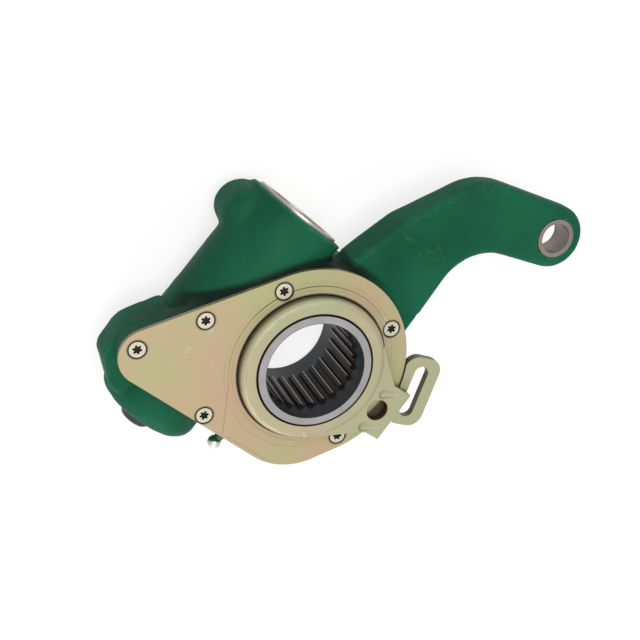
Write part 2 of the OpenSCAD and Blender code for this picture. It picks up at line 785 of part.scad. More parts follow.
// Toothed rack with the peg that the control disc drives
module rack() {
    lean_up = (rack_ded + 0.2) * tan(pressure);
    lean_down = rack_add * tan(pressure);
    color([0.5, 0.5, 0.53]) rack_frame() {
        translate([rack_mid - rack_w / 2, rack_low, rack_root])
            cube([rack_w, rack_end - rack_low, rack_top - rack_root]);
        for (i = rack_teeth) translate([rack_mid - rack_w / 2, centre + i * rack_pitch, rack_line])
            rotate([90, 0, 90]) linear_extrude(rack_w)
                polygon([[-rack_half - lean_up, rack_ded + 0.2], [-rack_half + lean_down, -rack_add],
                    [rack_half - lean_down, -rack_add], [rack_half + lean_up, rack_ded + 0.2]]);
        translate([-drive_r, 0, rack_top - cut]) cylinder(d = peg_d, h = disc_top - rack_top + cut - 0.2);
    }
}

// Control arm

// Outline of the control tab, flaring into the ring on both sides
module tab_outline() {
    flare_a = 62;
    flare_b = 50;
    rotate(tab_angle) polygon([
        polar(ring_out_r - 0.3, -flare_a), [tab_end - 8, -tab_w / 2], [tab_end, -tab_w / 2],
        [tab_end, tab_w / 2], [tab_end - 10, tab_w / 2], polar(ring_out_r - 0.3, flare_b), [ring_in_r, 0]
    ]);
}

// Cup-shaped control ring with its tab
module control_ring() {
    shoulder = 3;
    hole_r = 38.3;
    dimples = [[38.5, 7.9, 28], [40.3, -9.6, 23]];
    color([0.7, 0.69, 0.52]) difference() {
        union() {
            rotate_extrude() polygon(concat(
                [[ring_in_r, ring_top - ring_t], [hub_wall_r, ring_top - ring_t], [hub_wall_r, disc_top],
                    [ring_out_r, disc_top]],
                arc([ring_out_r - shoulder, ring_top - shoulder], shoulder, 0, 90, 8),
                [[ring_in_r, ring_top]]
            ));
            difference() {
                translate([0, 0, tab_bottom]) linear_extrude(tab_t) tab_outline();
                translate([0, 0, tab_bottom - cut]) cylinder(r = hub_wall_r + 0.5, h = tab_t + 2 * cut);
            }
        }
        rotate([0, 0, tab_angle]) {
            rotate([0, 0, -1.5]) translate([hole_r, 0, tab_bottom - cut])
                cylinder(d = tab_hole_d, h = tab_t + 2 * cut);
            for (d = dimples) translate([d[0], d[1], tab_top + 0.7]) rotate([0, 90, d[2]])
                cylinder(r1 = 1.2, r2 = 2.3, h = 8.4, center = true);
        }
    }
}

// Control disc with the notch that drives the rack
module control_disc() {
    notch_half = peg_d / 2 + slide_gap;
    notch_from = drive_r - peg_d / 2 - 0.9;
    color([0.55, 0.55, 0.56]) difference() {
        union() {
            ring(ring_in_r, disc_d / 2, disc_bottom, disc_top);
            ring(ring_in_r, hub_wall_r, disc_bottom, ring_top - ring_t);
        }
        rack_frame() translate([-disc_d, -notch_half, disc_bottom - cut])
            cube([disc_d - notch_from, 2 * notch_half, disc_t + 2 * cut]);
    }
}

// Outline of the slotted strap, with the foot that is welded under the tab
module strap_outline() {
    inner_r = cover_edge_r + 0.4;
    wide = slot_w / 2 + 5.6;
    mid_x = inner_r + slot_w / 2 + 4.4;
    shift = -1.75;
    round_r = 6.2;
    far = slot_len / 2 + wide - 1.4;
    ends = [[mid_x, shift + slot_len / 2], [mid_x, shift - slot_len / 2]];
    corner = [wide - round_r, far - round_r];
    difference() {
        union() {
            rotate(tab_angle + 17.6) translate([mid_x, shift]) polygon(concat(
                arc(corner, round_r, 0, 90, 8),
                arc([-corner[0], corner[1]], round_r, 90, 180, 8),
                arc(-corner, round_r, 180, 270, 8),
                arc([corner[0], -corner[1]], round_r, 270, 360, 8)
            ));
            rotate(tab_angle) translate([cover_edge_r, -tab_w / 2 + 3])
                square([tab_end - cover_edge_r - 0.4, tab_w - 3]);
        }
        circle(r = inner_r);
        rotate(tab_angle + 17.6) {
            for (p = ends) translate(p) circle(d = slot_w);
            translate([mid_x - slot_w / 2, ends[1][1]]) square([slot_w, slot_len]);
        }
    }
}

// Slotted strap that takes the anchor pin
module control_strap() {
    color([0.7, 0.69, 0.52]) translate([0, 0, tab_bottom - strap_t]) linear_extrude(strap_t) strap_outline();
}

// Seal between control ring and hub collar
module control_seal() {
    color([0.05, 0.05, 0.05]) ring(collar_r + slide_gap, ring_in_r, disc_top, ring_top - ring_t);
}

housing();
arm_bush();
cover_plate();
cover_gasket();
cover_screws();
dust_seal();
hub_bearing();
worm_bush();
hex_seal();
thrust_washer();
thrust_balls();
worm_spring();
worm_cap();
cap_seal();
rack_spring();
grease_nipple();
pinion_washer();
worm_wheel();
hub_seal();
worm_shaft();
clutch_hub();
thrust_race();
pinion();
clutch_spring();
rack();
control_ring();
control_disc();
control_strap();
control_seal();
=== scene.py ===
"""Looks of the brake slack adjuster: cast skin, finishes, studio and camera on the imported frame."""

from __future__ import annotations

import json
import logging
from collections.abc import Callable, Iterable
from dataclasses import dataclass
from enum import Enum
from math import cos, pi, radians, sin

import bpy
from mathutils import Matrix, Vector, noise

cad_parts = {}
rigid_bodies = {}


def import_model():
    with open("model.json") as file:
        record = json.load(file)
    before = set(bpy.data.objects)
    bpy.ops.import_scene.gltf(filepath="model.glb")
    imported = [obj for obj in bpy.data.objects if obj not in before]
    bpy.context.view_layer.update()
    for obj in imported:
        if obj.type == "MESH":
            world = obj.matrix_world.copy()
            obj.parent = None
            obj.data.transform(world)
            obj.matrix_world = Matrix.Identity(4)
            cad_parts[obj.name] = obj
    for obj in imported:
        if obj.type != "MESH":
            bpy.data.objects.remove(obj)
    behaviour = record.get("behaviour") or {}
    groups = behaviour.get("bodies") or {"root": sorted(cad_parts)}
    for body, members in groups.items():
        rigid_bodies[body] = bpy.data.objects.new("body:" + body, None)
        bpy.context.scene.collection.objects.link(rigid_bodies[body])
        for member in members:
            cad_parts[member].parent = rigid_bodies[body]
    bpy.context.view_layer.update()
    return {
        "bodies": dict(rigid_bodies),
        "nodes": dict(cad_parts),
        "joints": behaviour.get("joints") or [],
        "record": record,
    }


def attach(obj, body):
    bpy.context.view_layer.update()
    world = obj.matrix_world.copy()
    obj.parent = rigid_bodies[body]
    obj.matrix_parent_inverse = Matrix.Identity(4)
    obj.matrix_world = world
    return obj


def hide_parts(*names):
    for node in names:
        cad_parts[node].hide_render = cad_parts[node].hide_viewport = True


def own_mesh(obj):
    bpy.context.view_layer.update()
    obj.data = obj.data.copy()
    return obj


LOG = logging.getLogger("slack_adjuster")
MM = 0.001

Rgb = tuple[float, float, float]
Rgba = tuple[float, float, float, float]
Span = tuple[float, float]
Point = tuple[float, float, float]
Socket = bpy.types.NodeSocket
Node = bpy.types.Node
Piece = bpy.types.Object

WHOLE: Span = (0.0, 1.0)
MIDDLE = 0.5


def linear(colour: Rgb) -> Rgba:
    """Turn a display colour into a shader colour.

    Args:
        colour: red, green and blue from 0 to 255, as seen on a screen.

    Returns:
        The linear colour with full alpha.
    """

    def channel(value: float) -> float:
        """Undo the display curve of one channel."""
        part = value / 255.0
        return part / 12.92 if part <= 0.04045 else ((part + 0.055) / 1.055) ** 2.4

    return (channel(colour[0]), channel(colour[1]), channel(colour[2]), 1.0)


class Effect(Enum):
    """Surface effects that several finishes share, each a node group."""

    GRAIN = "cast_grain"
    DRIFT = "tone_drift"
    WEAR = "cast_edge_wear"
    CREASE = "sheet_crease"
    GRIME = "corner_grime"
    LATHE = "lathe_lines"
    SPECKS = "fine_specks"
    HUB_LINE = "hub_line"


@dataclass(frozen=True)
class Stain:
    """A tone that covers a share of the colour under it."""

    tone: Rgb
    share: float


@dataclass(frozen=True)
class Drift:
    """Scale and contrast of a slow change of tone."""

    scale: float
    contrast: float


@dataclass(frozen=True)
class Grime:
    """How far painted shade reaches out of corners, and the scale that breaks it up."""

    reach: float
    break_scale: float


@dataclass(frozen=True)
class Grain:
    """Scales of a surface's grain and lumps, and how deep they look."""

    fine: float
    lump: float
    lump_share: float
    strength: float
    depth: float


class Tree:
    """Small helper that places and links nodes in one node tree."""

    def __init__(self, tree: bpy.types.NodeTree) -> None:
        """Keep the tree that nodes are added to."""
        self.tree = tree

    def add(self, kind: str, inputs: dict[str, object] | None = None, **settings: object) -> Node:
        """Add one node.

        Args:
            kind: the node's Blender type name.
            inputs: socket name to a value, or to an output socket that is linked to it.
            **settings: attributes set on the node itself.

        Returns:
            The new node.
        """
        node = self.tree.nodes.new(kind)
        for name, value in settings.items():
            setattr(node, name, value)
        for name, value in (inputs or {}).items():
            self.feed(node, name, value)
        return node

    def feed(self, node: Node, name: str, value: object) -> None:
        """Set or link one input.

        Args:
            node: the node that owns the input.
            name: the input's name, or its number as text where names repeat.
            value: an output socket to link, or a plain value.
        """
        socket = node.inputs[int(name)] if name.isdigit() else node.inputs[name]
        if isinstance(value, Socket):
            self.tree.links.new(value, socket)
        else:
            socket.default_value = value

    def math(self, operation: str, first: object, second: object = 0.0) -> Socket:
        """Add a Math node and return its value."""
        node = self.add("ShaderNodeMath", {"0": first, "1": second}, operation=operation)
        return node.outputs[0]

    def times(self, first: object, second: object) -> Socket:
        """Return the product of two values."""
        return self.math("MULTIPLY", first, second)

    def less(self, first: object, second: object) -> Socket:
        """Return the difference of two values."""
        return self.math("SUBTRACT", first, second)

    def mix(self, factor: object, first: object, second: object) -> Socket:
        """Mix two colours.

        Args:
            factor: the second colour's share.
            first: the colour at factor 0.
            second: the colour at factor 1.

        Returns:
            The mixed colour.
        """
        node = self.add("ShaderNodeMix", data_type="RGBA")
        for number, value in ((0, factor), (6, first), (7, second)):
            self.feed(node, str(number), value)
        return node.outputs[2]

    def stain(self, under: object, mask: object, stain: Stain) -> Socket:
        """Lay a stain over a colour where a mask is full."""
        return self.mix(self.times(mask, stain.share), under, linear(stain.tone))

    def span(self, value: object, source: tuple[object, object], target: Span = WHOLE) -> Socket:
        """Map a value from one range to another, held at its ends.

        Args:
            value: the value to map.
            source: the range that it comes from, either way round.
            target: the range that it goes to.

        Returns:
            The mapped value.
        """
        ends = {"From Min": source[0], "From Max": source[1], "To Min": target[0], "To Max": target[1]}
        node = self.add("ShaderNodeMapRange", {"Value": value, **ends})
        return node.outputs["Result"]

    def place(self) -> Socket:
        """Return the point on the piece, in metres in the row frame."""
        return self.add("ShaderNodeTexCoord").outputs["Object"]

    def parts(self, vector: object) -> tuple[Socket, ...]:
        """Return the three parts of a vector."""
        return tuple(self.add("ShaderNodeSeparateXYZ", {"Vector": vector}).outputs)

    def dot(self, first: object, second: object) -> Socket:
        """Return the dot product of two vectors."""
        node = self.add("ShaderNodeVectorMath", {"0": first, "1": second}, operation="DOT_PRODUCT")
        return node.outputs["Value"]

    def reach(self, across: object, along: object) -> Socket:
        """Return the length of a flat vector."""
        square = self.math("ADD", self.times(across, across), self.times(along, along))
        return self.math("SQRT", square)

    def noise(self, where: object, scale: object, detail: float = 3.0) -> Socket:
        """Return a soft noise value at a point."""
        node = self.add("ShaderNodeTexNoise", {"Vector": where, "Scale": scale, "Detail": detail})
        return node.outputs["Fac"]

    def white_rays(self) -> Socket:
        """Return a mask of the rays that see the room as white.

        Returns:
            1 for camera, glossy and transmission rays, else 0.
        """
        path = self.add("ShaderNodeLightPath").outputs
        mirrored = self.math("MAXIMUM", path["Is Glossy Ray"], path["Is Transmission Ray"])
        return self.math("MAXIMUM", path["Is Camera Ray"], mirrored)


GroupParts = tuple[Tree, Node, Node]


class EffectLibrary:
    """Builds each shared effect once, as a shader node group."""

    FINE_DETAIL = 4.0
    SOFT_DETAIL = 2.0
    FOLD_SAMPLES = 4
    CORNER_SAMPLES = 8
    DRIFT_ENDS: Span = (-0.5, 0.5)
    EDGE_BEND: Span = (0.51, 0.58)
    HOLLOW_BEND: Span = (0.49, 0.42)
    BREAK_SHARE = 0.2
    FOLD_MATCH: Span = (0.99, 0.8)
    SHUT_CORNER: Span = (0.85, 0.35)
    DIRT_NOISE: Span = (0.25, 0.6)
    DIRT_LEFT: Span = (0.6, 1.0)
    PATCH_SCALE = 90.0
    PATCH_NOISE: Span = (0.52, 0.66)
    LINE_BREAK_SCALE = 60.0
    LINE_BREAK_NOISE: Span = (0.44, 0.58)

    def __init__(self) -> None:
        """Start with no group made."""
        self._groups: dict[Effect, bpy.types.NodeTree] = {}

    def group(self, effect: Effect) -> bpy.types.NodeTree:
        """Return the group of an effect, made on first use.

        Args:
            effect: the effect that is asked for.

        Returns:
            The effect's node group.
        """
        makers = {
            Effect.GRAIN: self._grain, Effect.DRIFT: self._drift, Effect.WEAR: self._wear,
            Effect.CREASE: self._crease, Effect.GRIME: self._grime, Effect.LATHE: self._lathe,
            Effect.SPECKS: self._specks, Effect.HUB_LINE: self._hub_line,
        }
        if effect not in self._groups:
            self._groups[effect] = makers[effect](effect.value)
        return self._groups[effect]

    @staticmethod
    def _start(name: str, inputs: dict[str, float], outputs: Iterable[str]) -> GroupParts:
        """Make an empty group with named sockets.

        Args:
            name: the group's name.
            inputs: input name to its default value.
            outputs: names of the value outputs.

        Returns:
            The group's tree helper, its input node and its output node.
        """
        tree = bpy.data.node_groups.new(name, "ShaderNodeTree")
        for label, value in inputs.items():
            socket = tree.interface.new_socket(label, in_out="INPUT", socket_type="NodeSocketFloat")
            socket.default_value = value
        for label in outputs:
            tree.interface.new_socket(label, in_out="OUTPUT", socket_type="NodeSocketFloat")
        helper = Tree(tree)
        return helper, helper.add("NodeGroupInput"), helper.add("NodeGroupOutput")

    def _grain(self, name: str) -> bpy.types.NodeTree:
        """Sand-cast skin: fine grain on soft lumps.

        Args:
            name: the group's name.

        Returns:
            The group, which puts out a height.
        """
        inputs = {"Fine Scale": 900.0, "Lump Scale": 130.0, "Lump Share": 0.6}
        tree, given, out = self._start(name, inputs, ["Height"])
        where = tree.place()
        fine = tree.noise(where, given.outputs["Fine Scale"], self.FINE_DETAIL)
        lumps = tree.noise(where, given.outputs["Lump Scale"], self.SOFT_DETAIL)
        share = given.outputs["Lump Share"]
        height = tree.math("ADD", tree.times(lumps, share), tree.times(fine, tree.less(1.0, share)))
        tree.feed(out, "Height", height)
        return tree.tree

    def _drift(self, name: str) -> bpy.types.NodeTree:
        """Slow change of tone over a surface.

        Args:
            name: the group's name.

        Returns:
            The group, which puts out a mask from 0 to 1.
        """
        tree, given, out = self._start(name, {"Scale": 40.0, "Contrast": 3.0}, ["Mask"])
        soft = tree.noise(tree.place(), given.outputs["Scale"])
        centred = tree.times(tree.less(soft, MIDDLE), given.outputs["Contrast"])
        tree.feed(out, "Mask", tree.span(centred, self.DRIFT_ENDS))
        return tree.tree

    def _wear(self, name: str) -> bpy.types.NodeTree:
        """Masks for painted highlight on raised edges and painted shade in hollows, broken up by noise.

        Args:
            name: the group's name.

        Returns:
            The group, which puts out one mask for edges and one for hollows.
        """
        tree, given, out = self._start(name, {"Break Scale": 300.0, "Break": 0.25}, ["Edge", "Hollow"])
        bend = tree.add("ShaderNodeNewGeometry").outputs["Pointiness"]
        broken = tree.noise(tree.place(), given.outputs["Break Scale"], self.FINE_DETAIL)
        shift = tree.times(tree.less(broken, MIDDLE), given.outputs["Break"])
        shifted = tree.math("ADD", bend, tree.times(shift, self.BREAK_SHARE))
        tree.feed(out, "Edge", tree.span(shifted, self.EDGE_BEND))
        tree.feed(out, "Hollow", tree.span(shifted, self.HOLLOW_BEND))
        return tree.tree

    def _crease(self, name: str) -> bpy.types.NodeTree:
        """Thin band along the folds and cut edges of a sheet.

        Args:
            name: the group's name.

        Returns:
            The group, which puts out a mask.
        """
        tree, given, out = self._start(name, {"Radius": 0.4 * MM}, ["Mask"])
        soft = tree.add("ShaderNodeBevel", {"Radius": given.outputs["Radius"]}, samples=self.FOLD_SAMPLES)
        plain = tree.add("ShaderNodeNewGeometry").outputs["Normal"]
        match = tree.dot(soft.outputs[0], plain)
        tree.feed(out, "Mask", tree.span(match, self.FOLD_MATCH))
        return tree.tree

    def _grime(self, name: str) -> bpy.types.NodeTree:
        """Painted shade where surfaces meet, broken up by noise.

        Args:
            name: the group's name.

        Returns:
            The group, which puts out a mask.
        """
        tree, given, out = self._start(name, {"Reach": 2 * MM, "Break Scale": 500.0}, ["Mask"])
        near = {"Distance": given.outputs["Reach"]}
        # painted shade: ambient occlusion darkens where surfaces meet
        open_share = tree.add("ShaderNodeAmbientOcclusion", near, samples=self.CORNER_SAMPLES).outputs["AO"]
        shut = tree.span(open_share, self.SHUT_CORNER)
        broken = tree.noise(tree.place(), given.outputs["Break Scale"])
        tree.feed(out, "Mask", tree.times(shut, tree.span(broken, self.DIRT_NOISE, self.DIRT_LEFT)))
        return tree.tree

    def _lathe(self, name: str) -> bpy.types.NodeTree:
        """Fine turning lines round the hub's axis.

        Args:
            name: the group's name.

        Returns:
            The group, which puts out a height.
        """
        tree, given, out = self._start(name, {"Line Scale": 2500.0}, ["Height"])
        across, along, up = tree.parts(tree.place())
        line = tree.add("ShaderNodeCombineXYZ", {"X": tree.reach(across, along), "Y": up}).outputs[0]
        tree.feed(out, "Height", tree.noise(line, given.outputs["Line Scale"], self.SOFT_DETAIL))
        return tree.tree

    def _specks(self, name: str) -> bpy.types.NodeTree:
        """Sparse small spots in patches.

        Args:
            name: the group's name.

        Returns:
            The group, which puts out a mask from 0 to 1.
        """
        tree, given, out = self._start(name, {"Scale": 220.0, "Size": 0.18}, ["Mask"])
        cells = tree.add("ShaderNodeTexVoronoi", {"Vector": tree.place(), "Scale": given.outputs["Scale"]})
        patch = tree.noise(tree.place(), self.PATCH_SCALE, self.SOFT_DETAIL)
        near = tree.math("LESS_THAN", cells.outputs["Distance"], given.outputs["Size"])
        tree.feed(out, "Mask", tree.times(near, tree.span(patch, self.PATCH_NOISE)))
        return tree.tree

    def _hub_line(self, name: str) -> bpy.types.NodeTree:
        """Thin line at a distance from the hub's axis, broken along its way.

        Args:
            name: the group's name.

        Returns:
            The group, which puts out a mask.
        """
        inputs = {"Radius": 36.7 * MM, "Width": 0.2 * MM, "Break": 0.6}
        tree, given, out = self._start(name, inputs, ["Mask"])
        across, along, _ = tree.parts(tree.place())
        off = tree.math("ABSOLUTE", tree.less(tree.reach(across, along), given.outputs["Radius"]))
        line = tree.span(off, (given.outputs["Width"], 0.0))
        broken = tree.noise(tree.place(), self.LINE_BREAK_SCALE, self.SOFT_DETAIL)
        kept = tree.span(broken, self.LINE_BREAK_NOISE)
        whole = tree.less(1.0, given.outputs["Break"])
        tree.feed(out, "Mask", tree.times(line, tree.math("MAXIMUM", kept, whole)))
        return tree.tree


@dataclass(frozen=True)
class Wiring:
    """One material in the making: its nodes, its shader and the shared effects."""

    tree: Tree
    shader: Node
    effects: EffectLibrary

    def effect(self, effect: Effect, output: str = "Mask", **values: float) -> Socket:
        """Place one shared effect with its own values.

        Args:
            effect: the effect to place.
            output: the output that is wanted.
            **values: input name, with _ for a space, to its value.

        Returns:
            The effect's output.
        """
        node = self.tree.add("ShaderNodeGroup", node_tree=self.effects.group(effect))
        for label, value in values.items():
            node.inputs[label.replace("_", " ")].default_value = value
        return node.outputs[output]

    def drift(self, drift: Drift) -> Socket:
        """Return a slow drift of tone as a mask."""
        return self.effect(Effect.DRIFT, Scale=drift.scale, Contrast=drift.contrast)

    def grime(self, grime: Grime) -> Socket:
        """Return the painted shade in corners as a mask."""
        return self.effect(Effect.GRIME, Reach=grime.reach, Break_Scale=grime.break_scale)

    def grain(self, grain: Grain) -> None:
        """Give the surface its grain.

        Args:
            grain: scales and depth of the grain.
        """
        height = self.effect(Effect.GRAIN, "Height", Fine_Scale=grain.fine, Lump_Scale=grain.lump,
                             Lump_Share=grain.lump_share)
        self.bump(height, grain.strength, grain.depth)

    def bump(self, height: Socket, strength: float, depth: float) -> None:
        """Feed a height into the shader's normal.

        Args:
            height: the height over the surface.
            strength: how much of it shows.
            depth: the height of a full step, in metres.
        """
        node = self.tree.add("ShaderNodeBump", {"Strength": strength, "Distance": depth, "Height": height})
        self.wire("Normal", node.outputs[0])

    def wire(self, name: str, value: object) -> None:
        """Link or set one input of the shader."""
        self.tree.feed(self.shader, name, value)


class Finish:
    """Base of every finish: one material with a Principled shader."""

    name: str

    def material(self, effects: EffectLibrary) -> bpy.types.Material:
        """Build the material.

        Args:
            effects: the shared effects.

        Returns:
            The new material.
        """
        made = bpy.data.materials.new(self.name)
        made.use_nodes = True
        made.node_tree.nodes.clear()
        tree = Tree(made.node_tree)
        shader = tree.add("ShaderNodeBsdfPrincipled")
        tree.add("ShaderNodeOutputMaterial", {"Surface": shader.outputs[0]})
        self.dress(Wiring(tree, shader, effects))
        return made

    def dress(self, work: Wiring) -> None:
        """Wire colour, roughness and bump into the shader."""
        raise NotImplementedError


@dataclass(frozen=True)
class CastPaint(Finish):
    """Satin green paint over a sand casting."""

    name: str = "green_cast_paint"
    shade: Rgb = (16, 66, 46)
    body: Rgb = (25, 88, 63)
    edge: Stain = Stain((46, 126, 92), 0.6)
    hollow: Stain = Stain((6, 38, 26), 0.5)
    corner: Stain = Stain((6, 26, 18), 0.4)
    fleck: Stain = Stain((80, 140, 108), 0.3)
    oil: Stain = Stain((16, 22, 20), 0.88)
    drift: Drift = Drift(28.0, 2.2)
    grime: Grime = Grime(6 * MM, 220.0)
    grain: Grain = Grain(620.0, 70.0, 0.7, 0.6, 1.4 * MM)
    wear_scale: float = 260.0
    wear_break: float = 0.3
    fleck_scale: float = 160.0
    fleck_size: float = 0.1
    roughness: Span = (0.42, 0.6)
    specular: float = 0.05
    cover_radius: float = 44 * MM
    cover_edge: Point = (0.0805, 0.9968, 0.0)
    band: Span = (3.6 * MM, 1.0 * MM)
    band_turns: Span = (-2 * MM, 6 * MM)
    band_starts: Span = (-72 * MM, -30 * MM)
    band_above: Span = (12 * MM, 26 * MM)
    band_height: Span = (-4 * MM, 3 * MM)
    band_grows: Span = (-50 * MM, 5 * MM)
    band_widths: Span = (0.3, 1.0)

    def dress(self, work: Wiring) -> None:
        """Wire drifting green, painted highlight on edges, painted shade in hollows and corners, a painted
        shadow along the cover's edge, and cast grain.

        Args:
            work: the material in the making.
        """
        tree = work.tree
        drift = work.drift(self.drift)
        edge_light = {"Break_Scale": self.wear_scale, "Break": self.wear_break}
        green = tree.mix(drift, linear(self.shade), linear(self.body))
        # painted highlight: paler green on convex edges
        green = tree.stain(green, work.effect(Effect.WEAR, "Edge", **edge_light), self.edge)
        # painted shade: darker green in hollows
        green = tree.stain(green, work.effect(Effect.WEAR, "Hollow", **edge_light), self.hollow)
        # painted shade: darker green in corners
        green = tree.stain(green, work.grime(self.grime), self.corner)
        flecks = work.effect(Effect.SPECKS, Scale=self.fleck_scale, Size=self.fleck_size)
        green = tree.stain(green, flecks, self.fleck)
        # painted shadow: dark band on the casting along the cover's upper edge
        green = tree.stain(green, self._band(tree), self.oil)
        work.wire("Base Color", green)
        work.wire("Roughness", tree.span(drift, WHOLE, self.roughness))
        work.wire("Specular IOR Level", self.specular)
        work.grain(self.grain)

    def _band(self, tree: Tree) -> Socket:
        """Find the band of painted shadow along the cover's straight edge and its round.

        Args:
            tree: the material's nodes.

        Returns:
            The band as a mask.
        """
        where = tree.place()
        across, along, height = tree.parts(where)
        turned = tree.span(across, self.band_turns)
        rounded = tree.times(tree.reach(across, along), turned)
        straight = tree.times(tree.dot(where, self.cover_edge), tree.less(1.0, turned))
        off = tree.less(tree.math("ADD", rounded, straight), self.cover_radius)
        ends = tree.times(tree.span(across, self.band_starts), tree.span(along, self.band_above))
        upper = tree.times(ends, tree.span(height, self.band_height))
        wide = tree.span(across, self.band_grows, self.band_widths)
        return tree.times(tree.span(tree.math("DIVIDE", off, wide), self.band), upper)


@dataclass(frozen=True)
class PressLine:
    """A thin line of painted shade round the hub's axis, where the sheet is pressed."""

    radius: float
    width: float
    share: float
    tone: Rgb = (96, 74, 44)


@dataclass(frozen=True)
class GreasePatch:
    """Painted shade in a round patch, below a height and towards one side, that makes a hole look deeper."""

    reach: float
    below: float
    at: Span = (20.0 * MM, -32.7 * MM)
    grease: Stain = Stain((52, 36, 20), 0.92)
    lean: Span = (0.39, 0.92)
    pooled: Span = (-0.6 * MM, 0.8 * MM)
    rim_fade: float = 0.4 * MM
    depth_fade: float = 0.6 * MM

    def mask(self, tree: Tree) -> Socket:
        """Find the patch of painted shade.

        Args:
            tree: the material's nodes.

        Returns:
            The patch as a mask.
        """
        x, y, height = tree.parts(tree.place())
        across = tree.less(x, self.at[0])
        along = tree.less(y, self.at[1])
        inside = tree.span(tree.reach(across, along), (self.reach, self.reach - self.rim_fade))
        lower = tree.span(height, (self.below, self.below - self.depth_fade))
        lean = tree.less(tree.times(across, self.lean[0]), tree.times(along, self.lean[1]))
        return tree.times(tree.times(inside, lower), tree.span(lean, self.pooled))


@dataclass(frozen=True)
class ZincPlate(Finish):
    """Yellow passivated zinc on sheet steel, drifting from tan to olive."""

    name: str
    warm: Rgb
    cool: Rgb
    cut_edge: Stain = Stain((82, 70, 54), 0.7)
    cloud: Stain = Stain((146, 126, 92), 0.25)
    spot: Stain = Stain((184, 188, 194), 0.6)
    fold: Stain = Stain((92, 76, 50), 0.6)
    screw_rim: Stain = Stain((44, 35, 24), 0.86)
    dirt: Stain = Stain((34, 27, 18), 0.8)
    wide_drift: Drift = Drift(26.0, 3.6)
    small_drift: Drift = Drift(170.0, 2.0)
    grime: Grime = Grime(2.5 * MM, 500.0)
    grain: Grain = Grain(1800.0, 320.0, 0.35, 0.12, 0.3 * MM)
    spot_scale: float = 70.0
    spot_size: float = 0.16
    fold_radius: float = 0.4 * MM
    side_slope: Span = (0.55, 0.15)
    roughness: Span = (0.36, 0.5)
    metallic: float = 0.4
    grease: GreasePatch | None = None
    press_lines: tuple[PressLine, ...] = ()
    screws_at: tuple[Span, ...] = ()
    screw_ring: Span = (4.6 * MM, 4.0 * MM)
    calm: bool = False
    calm_across: Span = (-10 * MM, -18 * MM)
    calm_along: Span = (-15 * MM, -11.8 * MM)
    calm_outer: Span = (47.8 * MM, 47.0 * MM)
    calm_inner: Span = (34.4 * MM, 35.0 * MM)

    def dress(self, work: Wiring) -> None:
        """Wire the drifting plate colour, pale spots, cut edges dark with rust and painted shade, painted
        shade in folds, along pressed lines, round screws, in corners and in a hole, and a fine grain.

        Args:
            work: the material in the making.
        """
        tree = work.tree
        small = work.drift(self.small_drift)
        crease = work.effect(Effect.CREASE, Radius=self.fold_radius)
        grime = work.grime(self.grime)
        side = self._side(tree)
        if self.calm:
            pressed = self._pressed(tree)
            crease = tree.times(crease, pressed)
            grime = tree.times(grime, pressed)
            side = tree.times(side, pressed)
        plate = tree.mix(work.drift(self.wide_drift), linear(self.warm), linear(self.cool))
        plate = tree.stain(plate, small, self.cloud)
        spots = work.effect(Effect.SPECKS, Scale=self.spot_scale, Size=self.spot_size)
        plate = tree.stain(plate, spots, self.spot)
        # painted shade: darker line along the sheet's folds and cut edges
        plate = tree.stain(plate, crease, self.fold)
        # painted shade: thin dark lines at the pressed steps
        for line in self.press_lines:
            mask = work.effect(Effect.HUB_LINE, Radius=line.radius, Width=line.width)
            plate = tree.stain(plate, mask, Stain(line.tone, line.share))
        if self.screws_at:
            # painted shade: dark ring in the gap round each screw head
            plate = tree.stain(plate, self._screw_rings(tree), self.screw_rim)
        # cut sides darkened: partly rust on the cut steel, partly painted shade
        plate = tree.stain(plate, side, self.cut_edge)
        # painted shade: darker plate in corners
        plate = tree.stain(plate, grime, self.dirt)
        # painted shade deep in the tab's hole, lit on one side
        if self.grease is not None:
            plate = tree.stain(plate, self.grease.mask(tree), self.grease.grease)
        work.wire("Base Color", plate)
        work.wire("Roughness", tree.span(small, WHOLE, self.roughness))
        work.wire("Metallic", self.metallic)
        work.grain(self.grain)

    def _side(self, tree: Tree) -> Socket:
        """Return a mask of the sheet's cut sides."""
        upward = tree.parts(tree.add("ShaderNodeTexCoord").outputs["Normal"])[2]
        return tree.span(tree.math("ABSOLUTE", upward), self.side_slope)

    def _pressed(self, tree: Tree) -> Socket:
        """Find where the raised field has a sharp edge: not on the flat towards the lobe.

        Args:
            tree: the material's nodes.

        Returns:
            1 where the painted shade of folds, corners and cut sides may show, 0 on the flat.
        """
        across, along, _ = tree.parts(tree.place())
        away = tree.reach(across, along)
        flat = tree.times(tree.span(across, self.calm_across), tree.span(along, self.calm_along))
        band = tree.times(tree.span(away, self.calm_outer), tree.span(away, self.calm_inner))
        return tree.less(1.0, tree.times(flat, band))

    def _screw_rings(self, tree: Tree) -> Socket:
        """Find the ring of painted shade round each screw head.

        Args:
            tree: the material's nodes.

        Returns:
            The rings as a mask.
        """
        across, along, _ = tree.parts(tree.place())
        nearest: object = 1.0
        for x, y in self.screws_at:
            away = tree.reach(tree.less(across, x), tree.less(along, y))
            nearest = tree.math("MINIMUM", nearest, away)
        return tree.span(nearest, self.screw_ring)


